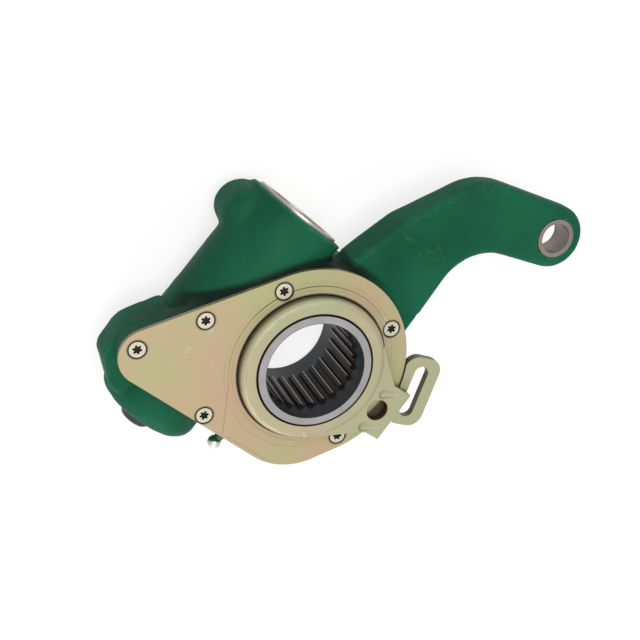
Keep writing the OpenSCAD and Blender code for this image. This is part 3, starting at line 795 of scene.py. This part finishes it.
@dataclass(frozen=True)
class PlainMetal(Finish):
    """Bare or plated metal with drift, painted shade in corners and a fine grain."""

    name: str
    tone: Rgb
    dark: Rgb
    roughness: Span = (0.28, 0.45)
    metallic: float = 0.9
    grain: Grain = Grain(2200.0, 400.0, 0.3, 0.12, 0.2 * MM)
    dark_share: float = 0.45
    dirt: Stain = Stain((24, 21, 17), 0.8)
    drift: Drift = Drift(120.0, 2.6)
    grime: Grime = Grime(1.5 * MM, 700.0)
    recess_below: float | None = None
    recess_fade: float = 0.2 * MM
    recess: Stain = Stain((20, 18, 14), 1.0)

    def dress(self, work: Wiring) -> None:
        """Wire the drifting metal tone, painted shade in corners and grain, and black painted shade in the
        recess below a height.

        Args:
            work: the material in the making.
        """
        tree = work.tree
        drift = work.drift(self.drift)
        metal = tree.stain(linear(self.tone), drift, Stain(self.dark, self.dark_share))
        # painted shade: darker metal in corners
        metal = tree.stain(metal, work.grime(self.grime), self.dirt)
        # painted shade: black in the recess below a height
        if self.recess_below is not None:
            height = tree.parts(tree.place())[2]
            sunk = tree.span(height, (self.recess_below, self.recess_below - self.recess_fade))
            metal = tree.stain(metal, sunk, self.recess)
        work.wire("Base Color", metal)
        work.wire("Roughness", tree.span(drift, WHOLE, self.roughness))
        work.wire("Metallic", self.metallic)
        work.grain(self.grain)


@dataclass(frozen=True)
class HubSteel(Finish):
    """Turned hub: bright collar, dark oiled bore with painted shade in the spline grooves and on the crests,
    and a thin painted highlight on each spline tooth.
    """

    bore_radius: float
    crest_radius: float
    teeth: int
    name: str = "hub_steel"
    collar: Rgb = (152, 151, 150)
    dull: Stain = Stain((120, 119, 118), 0.35)
    dirt: Stain = Stain((40, 38, 36), 0.7)
    bore: Rgb = (54, 57, 60)
    oil: Stain = Stain((46, 48, 52), 0.5)
    groove: Stain = Stain((12, 11, 11), 1.0)
    crest: Stain = Stain((27, 26, 26), 1.0)
    rust: Stain = Stain((58, 40, 28), 0.35)
    worn: Stain = Stain((190, 188, 184), 0.8)
    drift: Drift = Drift(90.0, 3.0)
    rust_drift: Drift = Drift(60.0, 5.0)
    grime: Grime = Grime(1.5 * MM, 600.0)
    lathe_scale: float = 2200.0
    lathe_span: Span = (0.3, 0.7)
    lathe_bump: Span = (0.08, 0.2 * MM)
    roughness: Span = (0.36, 0.5)
    metallic: float = 0.8
    near: float = 0.1 * MM
    far: float = 0.3 * MM
    worn_at: float = 0.67
    worn_width: Span = (0.05, 0.025)

    def dress(self, work: Wiring) -> None:
        """Wire the tones by distance from the bore's axis, with turning lines.

        Args:
            work: the material in the making.
        """
        tree = work.tree
        lathe = work.effect(Effect.LATHE, "Height", Line_Scale=self.lathe_scale)
        drift = work.drift(self.drift)
        across, along, _ = tree.parts(tree.place())
        radius = tree.reach(across, along)
        inside = tree.span(radius, (self.bore_radius + self.far, self.bore_radius + self.near))
        splined = tree.span(radius, (self.bore_radius - self.near, self.bore_radius - self.far))
        crest = tree.span(radius, (self.crest_radius + self.far, self.crest_radius + self.near))
        bright = tree.stain(linear(self.collar), drift, self.dull)
        # painted shade: darker collar in corners
        bright = tree.stain(bright, work.grime(self.grime), self.dirt)
        dark = tree.stain(linear(self.bore), drift, self.oil)
        # painted shade: near black in the spline grooves and dark on the crests
        dark = tree.stain(dark, splined, self.groove)
        dark = tree.stain(dark, crest, self.crest)
        dark = tree.stain(dark, tree.times(work.drift(self.rust_drift), splined), self.rust)
        # painted highlight: a thin bright line on each spline tooth
        dark = tree.stain(dark, tree.times(self._worn_lines(tree, across, along), crest), self.worn)
        work.wire("Base Color", tree.mix(inside, bright, dark))
        work.wire("Roughness", tree.span(lathe, self.lathe_span, self.roughness))
        work.wire("Metallic", self.metallic)
        work.bump(lathe, *self.lathe_bump)

    def _worn_lines(self, tree: Tree, across: Socket, along: Socket) -> Socket:
        """Find one painted highlight line along each spline tooth.

        Args:
            tree: the material's nodes.
            across: the place along the first axis.
            along: the place along the second axis.

        Returns:
            The lines as a mask.
        """
        turn = tree.math("DIVIDE", tree.math("ARCTAN2", along, across), 2 * pi / self.teeth)
        off = tree.math("ABSOLUTE", tree.less(tree.math("FRACT", turn), self.worn_at))
        return tree.span(off, self.worn_width)


@dataclass(frozen=True)
class Rubber(Finish):
    """Matt black rubber with a light dusting."""

    name: str = "seal_rubber"
    tone: Rgb = (24, 24, 24)
    dust: Stain = Stain((52, 50, 47), 0.4)
    drift: Drift = Drift(200.0, 3.0)
    grain: Grain = Grain(3000.0, 500.0, 0.4, 0.15, 0.2 * MM)
    roughness: Span = (0.6, 0.82)

    def dress(self, work: Wiring) -> None:
        """Wire black with grey dust in patches.

        Args:
            work: the material in the making.
        """
        drift = work.drift(self.drift)
        work.wire("Base Color", work.tree.stain(linear(self.tone), drift, self.dust))
        work.wire("Roughness", work.tree.span(drift, WHOLE, self.roughness))
        work.grain(self.grain)


@dataclass(frozen=True)
class NippleMetal(Finish):
    """Plated nipple whose one side caught green paint."""

    spray: Point
    border: float
    name: str = "nipple_plating"
    plating: Rgb = (206, 204, 192)
    dull: Stain = Stain((150, 148, 138), 0.4)
    paint: Stain = Stain((26, 84, 52), 1.0)
    drift: Drift = Drift(300.0, 2.0)
    ragged: float = 1.0 * MM
    fade: float = 0.3 * MM
    metallic: Span = (0.8, 0.0)
    roughness: Span = (0.3, 0.46)

    def dress(self, work: Wiring) -> None:
        """Wire paint on the sprayed side and plating beyond, with a ragged border.

        Args:
            work: the material in the making.
        """
        tree = work.tree
        drift = work.drift(self.drift)
        shift = tree.times(tree.less(drift, MIDDLE), self.ragged)
        away = tree.math("ADD", tree.dot(tree.place(), self.spray), shift)
        painted = tree.span(away, (self.border + self.fade, self.border - self.fade))
        plating = tree.stain(linear(self.plating), drift, self.dull)
        work.wire("Base Color", tree.stain(plating, painted, self.paint))
        work.wire("Metallic", tree.span(painted, WHOLE, self.metallic))
        work.wire("Roughness", tree.span(drift, WHOLE, self.roughness))


def new_object(name: str, data: bpy.types.ID) -> Piece:
    """Put a new object into the scene.

    Args:
        name: the object's name.
        data: its mesh, lamp or camera.

    Returns:
        The new object.
    """
    item = bpy.data.objects.new(name, data)
    bpy.context.scene.collection.objects.link(item)
    return item


def copy_of(node: Piece, name: str) -> Piece:
    """Make a new piece from a copy of a CAD node's mesh.

    Args:
        node: the CAD node, which stays as it is.
        name: the new piece's name.

    Returns:
        The new piece, at the node's place.
    """
    piece = new_object(name, node.data.copy())
    piece.matrix_world = node.matrix_world.copy()
    return piece


def settle(piece: Piece) -> None:
    """Turn a new piece's modifiers into its mesh.

    Args:
        piece: the piece, which loses its modifiers.
    """
    seen = piece.evaluated_get(bpy.context.evaluated_depsgraph_get())
    made = bpy.data.meshes.new_from_object(seen)
    piece.modifiers.clear()
    piece.data = made


def smooth_faces(mesh: bpy.types.Mesh) -> None:
    """Shade every face of a mesh smooth."""
    for polygon in mesh.polygons:
        polygon.use_smooth = True


class Dresser:
    """Gives finishes to pieces and rounds their edges."""

    BEVEL_SEGMENTS = 2
    HARD_EDGE = 40.0

    def __init__(self, frame: dict, effects: EffectLibrary) -> None:
        """Keep the frame and the shared effects."""
        self.frame = frame
        self.effects = effects

    def node(self, name: str) -> Piece:
        """Return a CAD node's object."""
        return self.frame["nodes"][name]

    def paint(self, finish: Finish, *items: Piece | str) -> None:
        """Put one finish on several objects.

        Args:
            finish: the finish to build.
            *items: new pieces, or names of CAD nodes.
        """
        material = finish.material(self.effects)
        for item in items:
            piece = self.node(item) if isinstance(item, str) else item
            if not piece.material_slots:
                piece.data.materials.append(material)
            for slot in piece.material_slots:
                slot.material = material
            LOG.info("%s takes %s", piece.name, finish.name)

    def soften(self, width: float, name: str) -> None:
        """Round the hard edges of a CAD node."""
        self.bevel(self.node(name), width)

    @classmethod
    def bevel(cls, item: Piece, width: float) -> None:
        """Add a bevel to an object's hard edges.

        Args:
            item: the object.
            width: the bevel's width in metres.
        """
        bevel = item.modifiers.new("soft_edges", "BEVEL")
        bevel.width = width
        bevel.segments = cls.BEVEL_SEGMENTS
        bevel.limit_method = "ANGLE"
        bevel.angle_limit = radians(cls.HARD_EDGE)
        bevel.use_clamp_overlap = True
        bevel.harden_normals = True


@dataclass(frozen=True)
class CastJoint:
    """A ball in which two cast forms melt together."""

    middle: Point
    radius: float

    def depth(self, point: Vector) -> float:
        """Return how deep a point is in the ball: 1 at the middle, 0 at the edge."""
        return 1.0 - (point - Vector(self.middle)).length / self.radius


@dataclass
class Casting:
    """Cast lever body with its eye bush."""

    voxel: float = 0.8 * MM
    smooth_factor: float = 0.5
    corner_rounds: int = 10
    joint_rounds: int = 60
    joint_gain: float = 2.0
    joints: tuple[CastJoint, ...] = (
        CastJoint((-71 * MM, 31 * MM, 3 * MM), 11 * MM),
        CastJoint((-40 * MM, 50 * MM, 8 * MM), 8 * MM),
    )
    rear_face: float = -25 * MM
    cover_seat: float = 17.3 * MM
    machined_band: float = 0.9 * MM
    machined_share: float = 0.25
    eye_at: Span = (127 * MM, 0.0)
    eye_keep: float = 10.2 * MM
    worm_angle: float = 30.0
    cap_end: float = 46.5 * MM
    lump_depth: float = 0.4 * MM
    lump_scale: float = 95.0
    lump_middle: float = 0.5
    lump_gain: float = 0.7
    dent_scale: float = 260.0
    dent_share: float = 0.45
    bush_edge: float = 0.35 * MM
    paint: CastPaint = CastPaint()
    bush: PlainMetal = PlainMetal("eye_bush_steel", (138, 128, 120), (92, 84, 78), (0.34, 0.48), 0.8)

    def build(self, dresser: Dresser) -> None:
        """Make the cast skin over the CAD body and dress it with its bush.

        Args:
            dresser: gives access to nodes and finishes.
        """
        skin = self.cast_skin(dresser.node("housing"))
        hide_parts("housing")
        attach(skin, "housing")
        dresser.paint(self.paint, skin)
        dresser.soften(self.bush_edge, "arm_bush")
        dresser.paint(self.bush, "arm_bush")

    def cast_skin(self, node: Piece) -> Piece:
        """Copy the body as an even mesh whose corners are rounded as in a sand casting.

        Args:
            node: the CAD body.

        Returns:
            The new piece.
        """
        skin = copy_of(node, "housing_cast")
        remesh = skin.modifiers.new("even_mesh", "REMESH")
        remesh.mode = "VOXEL"
        remesh.voxel_size = self.voxel
        settle(skin)
        self._smooth(skin, "as_cast", self.corner_rounds, self._cast_share)
        self._smooth(skin, "joints", self.joint_rounds, self._joint_share)
        settle(skin)
        self._sink_lumps(skin.data)
        smooth_faces(skin.data)
        return skin

    def _smooth(self, skin: Piece, name: str, rounds: int, share: Callable[[Vector], float]) -> None:
        """Add smoothing whose strength changes from point to point.

        Args:
            skin: the even mesh.
            name: the name of the modifier and of its vertex group.
            rounds: how often the points are smoothed.
            share: gives the strength at a point.
        """
        group = skin.vertex_groups.new(name=name)
        for vertex in skin.data.vertices:
            group.add([vertex.index], share(vertex.co), "REPLACE")
        smooth = skin.modifiers.new(name, "SMOOTH")
        smooth.factor = self.smooth_factor
        smooth.iterations = rounds
        smooth.vertex_group = group.name

    def _sink_lumps(self, mesh: bpy.types.Mesh) -> None:
        """Press soft uneven lumps into the cast faces, never outwards.

        Args:
            mesh: the even mesh of the body.
        """
        normals = [vertex.normal.copy() for vertex in mesh.vertices]
        for vertex, normal in zip(mesh.vertices, normals):
            if self._machined(vertex.co):
                continue
            lump = noise.noise(vertex.co * self.lump_scale)
            lump += self.dent_share * noise.noise(vertex.co * self.dent_scale)
            sunk = min(1.0, max(0.0, self.lump_middle + self.lump_gain * lump))
            vertex.co -= normal * (self.lump_depth * sunk)

    def _joint_share(self, point: Vector) -> float:
        """Find how much a point is melted where two cast forms meet.

        Args:
            point: a point of the body.

        Returns:
            The share from 0 to 1, always 0 on machined faces.
        """
        if self._machined(point):
            return 0.0
        deepest = max(joint.depth(point) for joint in self.joints)
        return min(1.0, max(0.0, self.joint_gain * deepest))

    def _cast_share(self, point: Vector) -> float:
        """Return how much a point may be rounded: little on machined faces."""
        return self.machined_share if self._machined(point) else 1.0

    def _machined(self, point: Vector) -> bool:
        """Tell whether a point is at a machined face.

        Args:
            point: a point of the body.

        Returns:
            True at the rear face, the cover's seat, the cap's end and the eye.
        """
        turn = radians(self.worm_angle)
        along = point.x * cos(turn) + point.y * sin(turn)
        from_eye = Vector((point.x - self.eye_at[0], point.y - self.eye_at[1])).length
        return (
            point.z < self.rear_face + self.machined_band
            or point.z > self.cover_seat - self.machined_band
            or along > self.cap_end - self.machined_band
            or from_eye < self.eye_keep
        )


@dataclass
class CoverSet:
    """Stamped cover with its screws, and all the seals."""

    edge_width: float = 0.3 * MM
    plate: ZincPlate = ZincPlate(
        "cover_zinc",
        warm=(174, 147, 120),
        cool=(158, 158, 114),
        grease=GreasePatch(reach=6.0 * MM, below=21.0 * MM),
        press_lines=(PressLine(35.3 * MM, 0.25 * MM, 0.5), PressLine(38.6 * MM, 0.2 * MM, 0.45)),
        screws_at=(
            (38.3 * MM, 0.0),
            (0.0, 38.3 * MM),
            (0.0, -38.3 * MM),
            (-49.8 * MM, 1.0 * MM),
            (-34.0 * MM, 41.0 * MM),
            (-63.4 * MM, 42.0 * MM),
        ),
        calm=True,
    )
    screws: PlainMetal = PlainMetal(
        "screw_zinc", (194, 189, 172), (152, 145, 124), (0.36, 0.5), 0.5, recess_below=19.75 * MM
    )
    rubber: Rubber = Rubber()
    seals: tuple[str, ...] = ("cover_gasket", "dust_seal", "hex_seal", "cap_seal", "hub_seal", "control_seal")

    def build(self, dresser: Dresser) -> None:
        """Dress the cover, its screws and the seals.

        Args:
            dresser: gives access to nodes and finishes.
        """
        dresser.soften(self.edge_width, "cover_plate")
        dresser.paint(self.plate, "cover_plate")
        dresser.paint(self.screws, "cover_screws")
        dresser.paint(self.rubber, *self.seals)


@dataclass
class Hub:
    """Splined worm wheel and the bronze bushes."""

    edge_width: float = 0.2 * MM
    steel: HubSteel = HubSteel(bore_radius=21.9 * MM, crest_radius=20.55 * MM, teeth=26)
    bronze: PlainMetal = PlainMetal("bearing_bronze", (176, 140, 84), (128, 98, 58), (0.3, 0.45), 0.9)

    def build(self, dresser: Dresser) -> None:
        """Dress the wheel and the bronze bushes.

        Args:
            dresser: gives access to nodes and finishes.
        """
        dresser.soften(self.edge_width, "worm_wheel")
        dresser.paint(self.steel, "worm_wheel")
        dresser.paint(self.bronze, "hub_bearing", "worm_bush")


@dataclass
class WormDrive:
    """Worm with cap, clutch, pinion, rack and springs."""

    oxide: PlainMetal = PlainMetal(
        "worm_black_oxide", (52, 46, 54), (30, 26, 32), (0.35, 0.5), 0.5,
        grain=Grain(2200.0, 400.0, 0.3, 0.25, 0.2 * MM),
    )
    steel: PlainMetal = PlainMetal("inner_ground_steel", (142, 142, 146), (100, 98, 98))
    spring: PlainMetal = PlainMetal("spring_steel", (92, 92, 96), (62, 60, 60))
    cap: PlainMetal = PlainMetal("cap_plating", (186, 174, 165), (142, 131, 121), (0.36, 0.5), 0.7)
    cap_edge: float = 0.3 * MM
    slide_axis: Point = (-0.5, 0.8660254, 0.0)
    spring_seat: Point = (-61.8 * MM, 38.45 * MM, 0.0)
    spring_length: float = 14.4 * MM
    rack_travel: float = 7.2 * MM
    ground: tuple[str, ...] = (
        "clutch_hub", "thrust_race", "thrust_washer", "thrust_balls",
        "pinion", "pinion_washer", "rack", "control_disc",
    )

    def build(self, dresser: Dresser) -> None:
        """Dress the drive's pieces.

        Args:
            dresser: gives access to nodes and finishes.
        """
        dresser.soften(self.cap_edge, "worm_cap")
        dresser.paint(self.oxide, "worm_shaft")
        dresser.paint(self.steel, *self.ground)
        coil = self.closing_coil(dresser.node("rack_spring"))
        dresser.paint(self.spring, coil, "worm_spring", "clutch_spring")
        dresser.paint(self.cap, "worm_cap")

    def closing_coil(self, node: Piece) -> Piece:
        """Copy the rack's spring as a smooth-shaded coil fixed to the housing, in place of the CAD spring.

        Args:
            node: the CAD spring.

        Returns:
            The new piece.
        """
        coil = copy_of(node, "rack_spring_coil")
        smooth_faces(coil.data)
        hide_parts("rack_spring")
        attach(coil, "housing")
        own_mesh(coil)
        return coil


class Press(Enum):
    """What a working solid does to the ring."""

    FILL = "UNION"
    CUT = "DIFFERENCE"


@dataclass(frozen=True)
class Dimple:
    """Place of one dimple on the tab, and its turn in degrees."""

    along: float
    across: float
    turn: float


@dataclass
class ControlArm:
    """Control ring with tab, and the slotted strap."""

    plate: ZincPlate = ZincPlate(
        "ring_zinc",
        warm=(163, 153, 124),
        cool=(150, 153, 121),
        cut_edge=Stain((94, 85, 60), 0.7),
        roughness=(0.46, 0.6),
        metallic=0.3,
        grease=GreasePatch(reach=5.4 * MM, below=23.6 * MM),
        press_lines=(PressLine(30.4 * MM, 0.3 * MM, 0.45),),
    )
    edge_width: float = 0.35 * MM
    tab_angle: float = -57.0
    tab_top: float = 23.8 * MM
    dimples: tuple[Dimple, ...] = (
        Dimple(38.5 * MM, 7.9 * MM, 28.0),
        Dimple(40.3 * MM, -9.6 * MM, 23.0),
    )
    plug_half: Point = (4.8 * MM, 2.6 * MM, 0.95 * MM)
    axis_lift: float = 0.7 * MM
    tear_round: Span = (-3.0 * MM, 2.3 * MM)
    tear_tip: Span = (4.6 * MM, 0.72 * MM)
    round_steps: int = 8
    round_start: float = 0.3
    turn_steps: int = 40
    sharp_angle: float = 35.0

    def build(self, dresser: Dresser) -> None:
        """Make the ring's dimples tear-shaped, and dress ring and strap.

        Args:
            dresser: gives access to nodes and finishes.
        """
        ring = self.tear_ring(dresser.node("control_ring"))
        dresser.soften(self.edge_width, "control_strap")
        dresser.paint(self.plate, ring, "control_strap")

    def tear_ring(self, node: Piece) -> Piece:
        """Copy the ring, close its plain dimples and press tear-shaped ones.

        Args:
            node: the CAD ring.

        Returns:
            The new piece.
        """
        ring = copy_of(node, "control_ring_tears")
        Dresser.bevel(ring, self.edge_width)
        settle(ring)
        for dimple in self.dimples:
            place = self._place(dimple)
            self._combine(ring, self._plug(place), Press.FILL)
            self._combine(ring, self._tear(place), Press.CUT)
        self._shade(ring)
        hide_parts("control_ring")
        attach(ring, "control_arm")
        return ring

    def _place(self, dimple: Dimple) -> Matrix:
        """Find where a dimple is on the tab's top.

        Args:
            dimple: the dimple, placed along and across the tab.

        Returns:
            Its place and turn in the row frame.
        """
        tab = Matrix.Rotation(radians(self.tab_angle), 4, "Z")
        shift = Matrix.Translation((dimple.along, dimple.across, self.tab_top))
        return tab @ shift @ Matrix.Rotation(radians(dimple.turn), 4, "Z")

    def _shade(self, ring: Piece) -> None:
        """Keep flat faces flat and cut edges crisp after the pressing.

        Args:
            ring: the pressed ring.
        """
        kept = ring.data.attributes.get("custom_normal")
        if kept is not None:
            ring.data.attributes.remove(kept)
        smooth_faces(ring.data)
        ring.data.set_sharp_from_angle(angle=radians(self.sharp_angle))
        weights = ring.modifiers.new("flat_faces", "WEIGHTED_NORMAL")
        weights.keep_sharp = True

    @staticmethod
    def _combine(ring: Piece, tool: Piece, press: Press) -> None:
        """Join a working solid to the ring or cut it out, and remove the solid.

        Args:
            ring: the ring.
            tool: the working solid.
            press: what the solid does.
        """
        step = ring.modifiers.new("press", "BOOLEAN")
        step.operation = press.value
        step.solver = "EXACT"
        step.object = tool
        settle(ring)
        bpy.data.objects.remove(tool)

    @staticmethod
    def _tool(points: list[Vector], faces: list[list[int]], place: Matrix) -> Piece:
        """Make a working solid.

        Args:
            points: its points, seen from its own middle.
            faces: its faces, as numbers of points.
            place: where it is on the tab.

        Returns:
            The solid.
        """
        mesh = bpy.data.meshes.new("press_tool")
        mesh.from_pydata([place @ point for point in points], [], faces)
        return new_object("press_tool", mesh)

    def _plug(self, place: Matrix) -> Piece:
        """Make the block that fills one plain dimple up to the tab's top.

        Args:
            place: where the dimple is.

        Returns:
            The block.
        """
        long, wide, deep = self.plug_half
        ends = (-1, 1)
        points = [Vector((x * long, y * wide, (z - 1) * deep)) for z in ends for y in ends for x in ends]
        faces = [[0, 2, 3, 1], [4, 5, 7, 6], [0, 1, 5, 4], [2, 6, 7, 3], [0, 4, 6, 2], [1, 3, 7, 5]]
        return self._tool(points, faces, place)

    def _tear(self, place: Matrix) -> Piece:
        """Make the drop that presses one dimple: a round end that tapers to a tip.

        Args:
            place: where the dimple is.

        Returns:
            The drop.
        """
        middle, radius = self.tear_round
        profile = []
        for step in range(self.round_steps):
            angle = radians(90) * (step + self.round_start) / self.round_steps
            profile.append((middle - radius * cos(angle), radius * sin(angle)))
        profile += [self.tear_round, self.tear_tip]
        count = self.turn_steps
        points = []
        for along, away in profile:
            for step in range(count):
                angle = radians(360) * step / count
                points.append(Vector((along, away * cos(angle), self.axis_lift + away * sin(angle))))
        last = (len(profile) - 1) * count
        faces = []
        for row in range(0, last, count):
            for step in range(count):
                beside = (step + 1) % count
                faces.append([row + step, row + beside, row + count + beside, row + count + step])
        faces += [list(range(count))[::-1], list(range(last, last + count))]
        return self._tool(points, faces, place)


@dataclass
class GreasePoint:
    """Grease nipple on the body's wall."""

    metal: NippleMetal = NippleMetal(spray=(-0.417, -0.820, 0.392), border=41.3 * MM)

    def build(self, dresser: Dresser) -> None:
        """Dress the nipple."""
        dresser.paint(self.metal, "grease_nipple")


@dataclass(frozen=True)
class Lamp:
    """A soft square lamp that shines towards the hub."""

    name: str
    at: Point
    size: float
    power: float

    def hang(self) -> None:
        """Put the lamp into the scene."""
        data = bpy.data.lights.new(self.name, "AREA")
        data.size = self.size
        data.energy = self.power
        lamp = new_object(self.name, data)
        turn = Vector(self.at).to_track_quat("Z", "Y").to_matrix().to_4x4()
        lamp.matrix_world = Matrix.Translation(self.at) @ turn


@dataclass
class Studio:
    """Pale floor, soft lamps and the camera at the photo's viewing angle."""

    floor_level: float = -25.85 * MM
    floor_size: float = 6.0
    floor_tone: Rgba = (0.9, 0.9, 0.9, 1.0)
    floor_glow: float = 0.75
    white: Rgba = (1.0, 1.0, 1.0, 1.0)
    room_light: Span = (0.42, 1.0)
    camera_at: Point = (-65.304 * MM, 238.057 * MM, 398.266 * MM)
    camera_right: Point = (0.8929, -0.2891, 0.3452)
    camera_down: Point = (-0.4170, -0.8201, 0.3918)
    lens: float = 59.76
    sensor: float = 36.0
    clip_start: float = 0.01
    lamps: tuple[Lamp, ...] = (
        Lamp("key_lamp", (-0.1, 0.3, 1.15), 0.7, 10.0),
        Lamp("fill_lamp", (0.6, 0.5, 0.6), 0.7, 2.5),
        Lamp("low_lamp", (-0.5, -0.6, 0.35), 0.5, 4.5),
    )

    def build(self) -> None:
        """Set up camera, lamps, floor and world."""
        self._camera()
        for lamp in self.lamps:
            lamp.hang()
        self._floor()
        self._world()

    def _camera(self) -> None:
        """Place the camera that was fitted to the photo."""
        data = bpy.data.cameras.new("view")
        data.lens = self.lens
        data.sensor_width = self.sensor
        data.sensor_fit = "HORIZONTAL"
        data.clip_start = self.clip_start
        camera = new_object("view", data)
        right = Vector(self.camera_right).normalized()
        up = -Vector(self.camera_down)
        up = (up - right * up.dot(right)).normalized()
        turn = Matrix((right, up, right.cross(up))).transposed().to_4x4()
        camera.matrix_world = Matrix.Translation(self.camera_at) @ turn
        bpy.context.scene.camera = camera

    def _floor(self) -> None:
        """Lay the pale floor that takes the object's shadow."""
        half = self.floor_size / 2
        mesh = bpy.data.meshes.new("floor")
        square = [(-half, -half), (half, -half), (half, half), (-half, half)]
        mesh.from_pydata([(x, y, self.floor_level) for x, y in square], [], [(0, 1, 2, 3)])
        floor = new_object("floor", mesh)
        material = bpy.data.materials.new("pale_floor")
        tree = self._empty_tree(material)
        share = tree.times(tree.white_rays(), self.floor_glow)
        matt = tree.add("ShaderNodeBsdfDiffuse", {"Color": self.floor_tone}).outputs[0]
        glow = tree.add("ShaderNodeEmission", {"Color": self.white, "Strength": 1.0}).outputs[0]
        both = tree.add("ShaderNodeMixShader", {"0": share, "1": matt, "2": glow})
        tree.add("ShaderNodeOutputMaterial", {"Surface": both.outputs[0]})
        mesh.materials.append(material)

    def _world(self) -> None:
        """Light the room evenly, and white for the rays that see it."""
        world = bpy.data.worlds.new("room")
        bpy.context.scene.world = world
        tree = self._empty_tree(world)
        strength = tree.span(tree.white_rays(), WHOLE, self.room_light)
        room = tree.add("ShaderNodeBackground", {"Color": self.white, "Strength": strength})
        tree.add("ShaderNodeOutputWorld", {"Surface": room.outputs[0]})

    @staticmethod
    def _empty_tree(owner: bpy.types.Material | bpy.types.World) -> Tree:
        """Empty the node tree of a material or world.

        Args:
            owner: the material or world.

        Returns:
            The helper for its nodes.
        """
        owner.use_nodes = True
        owner.node_tree.nodes.clear()
        return Tree(owner.node_tree)


def main() -> None:
    """Build the scene in order."""
    logging.basicConfig(level=logging.INFO, format="%(name)s: %(message)s")
    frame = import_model()
    bpy.context.scene.view_settings.view_transform = "Standard"
    dresser = Dresser(frame, EffectLibrary())
    Studio().build()
    for assembly in (Casting(), CoverSet(), Hub(), WormDrive(), ControlArm(), GreasePoint()):
        assembly.build(dresser)
        LOG.info("%s is done", type(assembly).__name__)


if __name__ == "__main__":
    main()
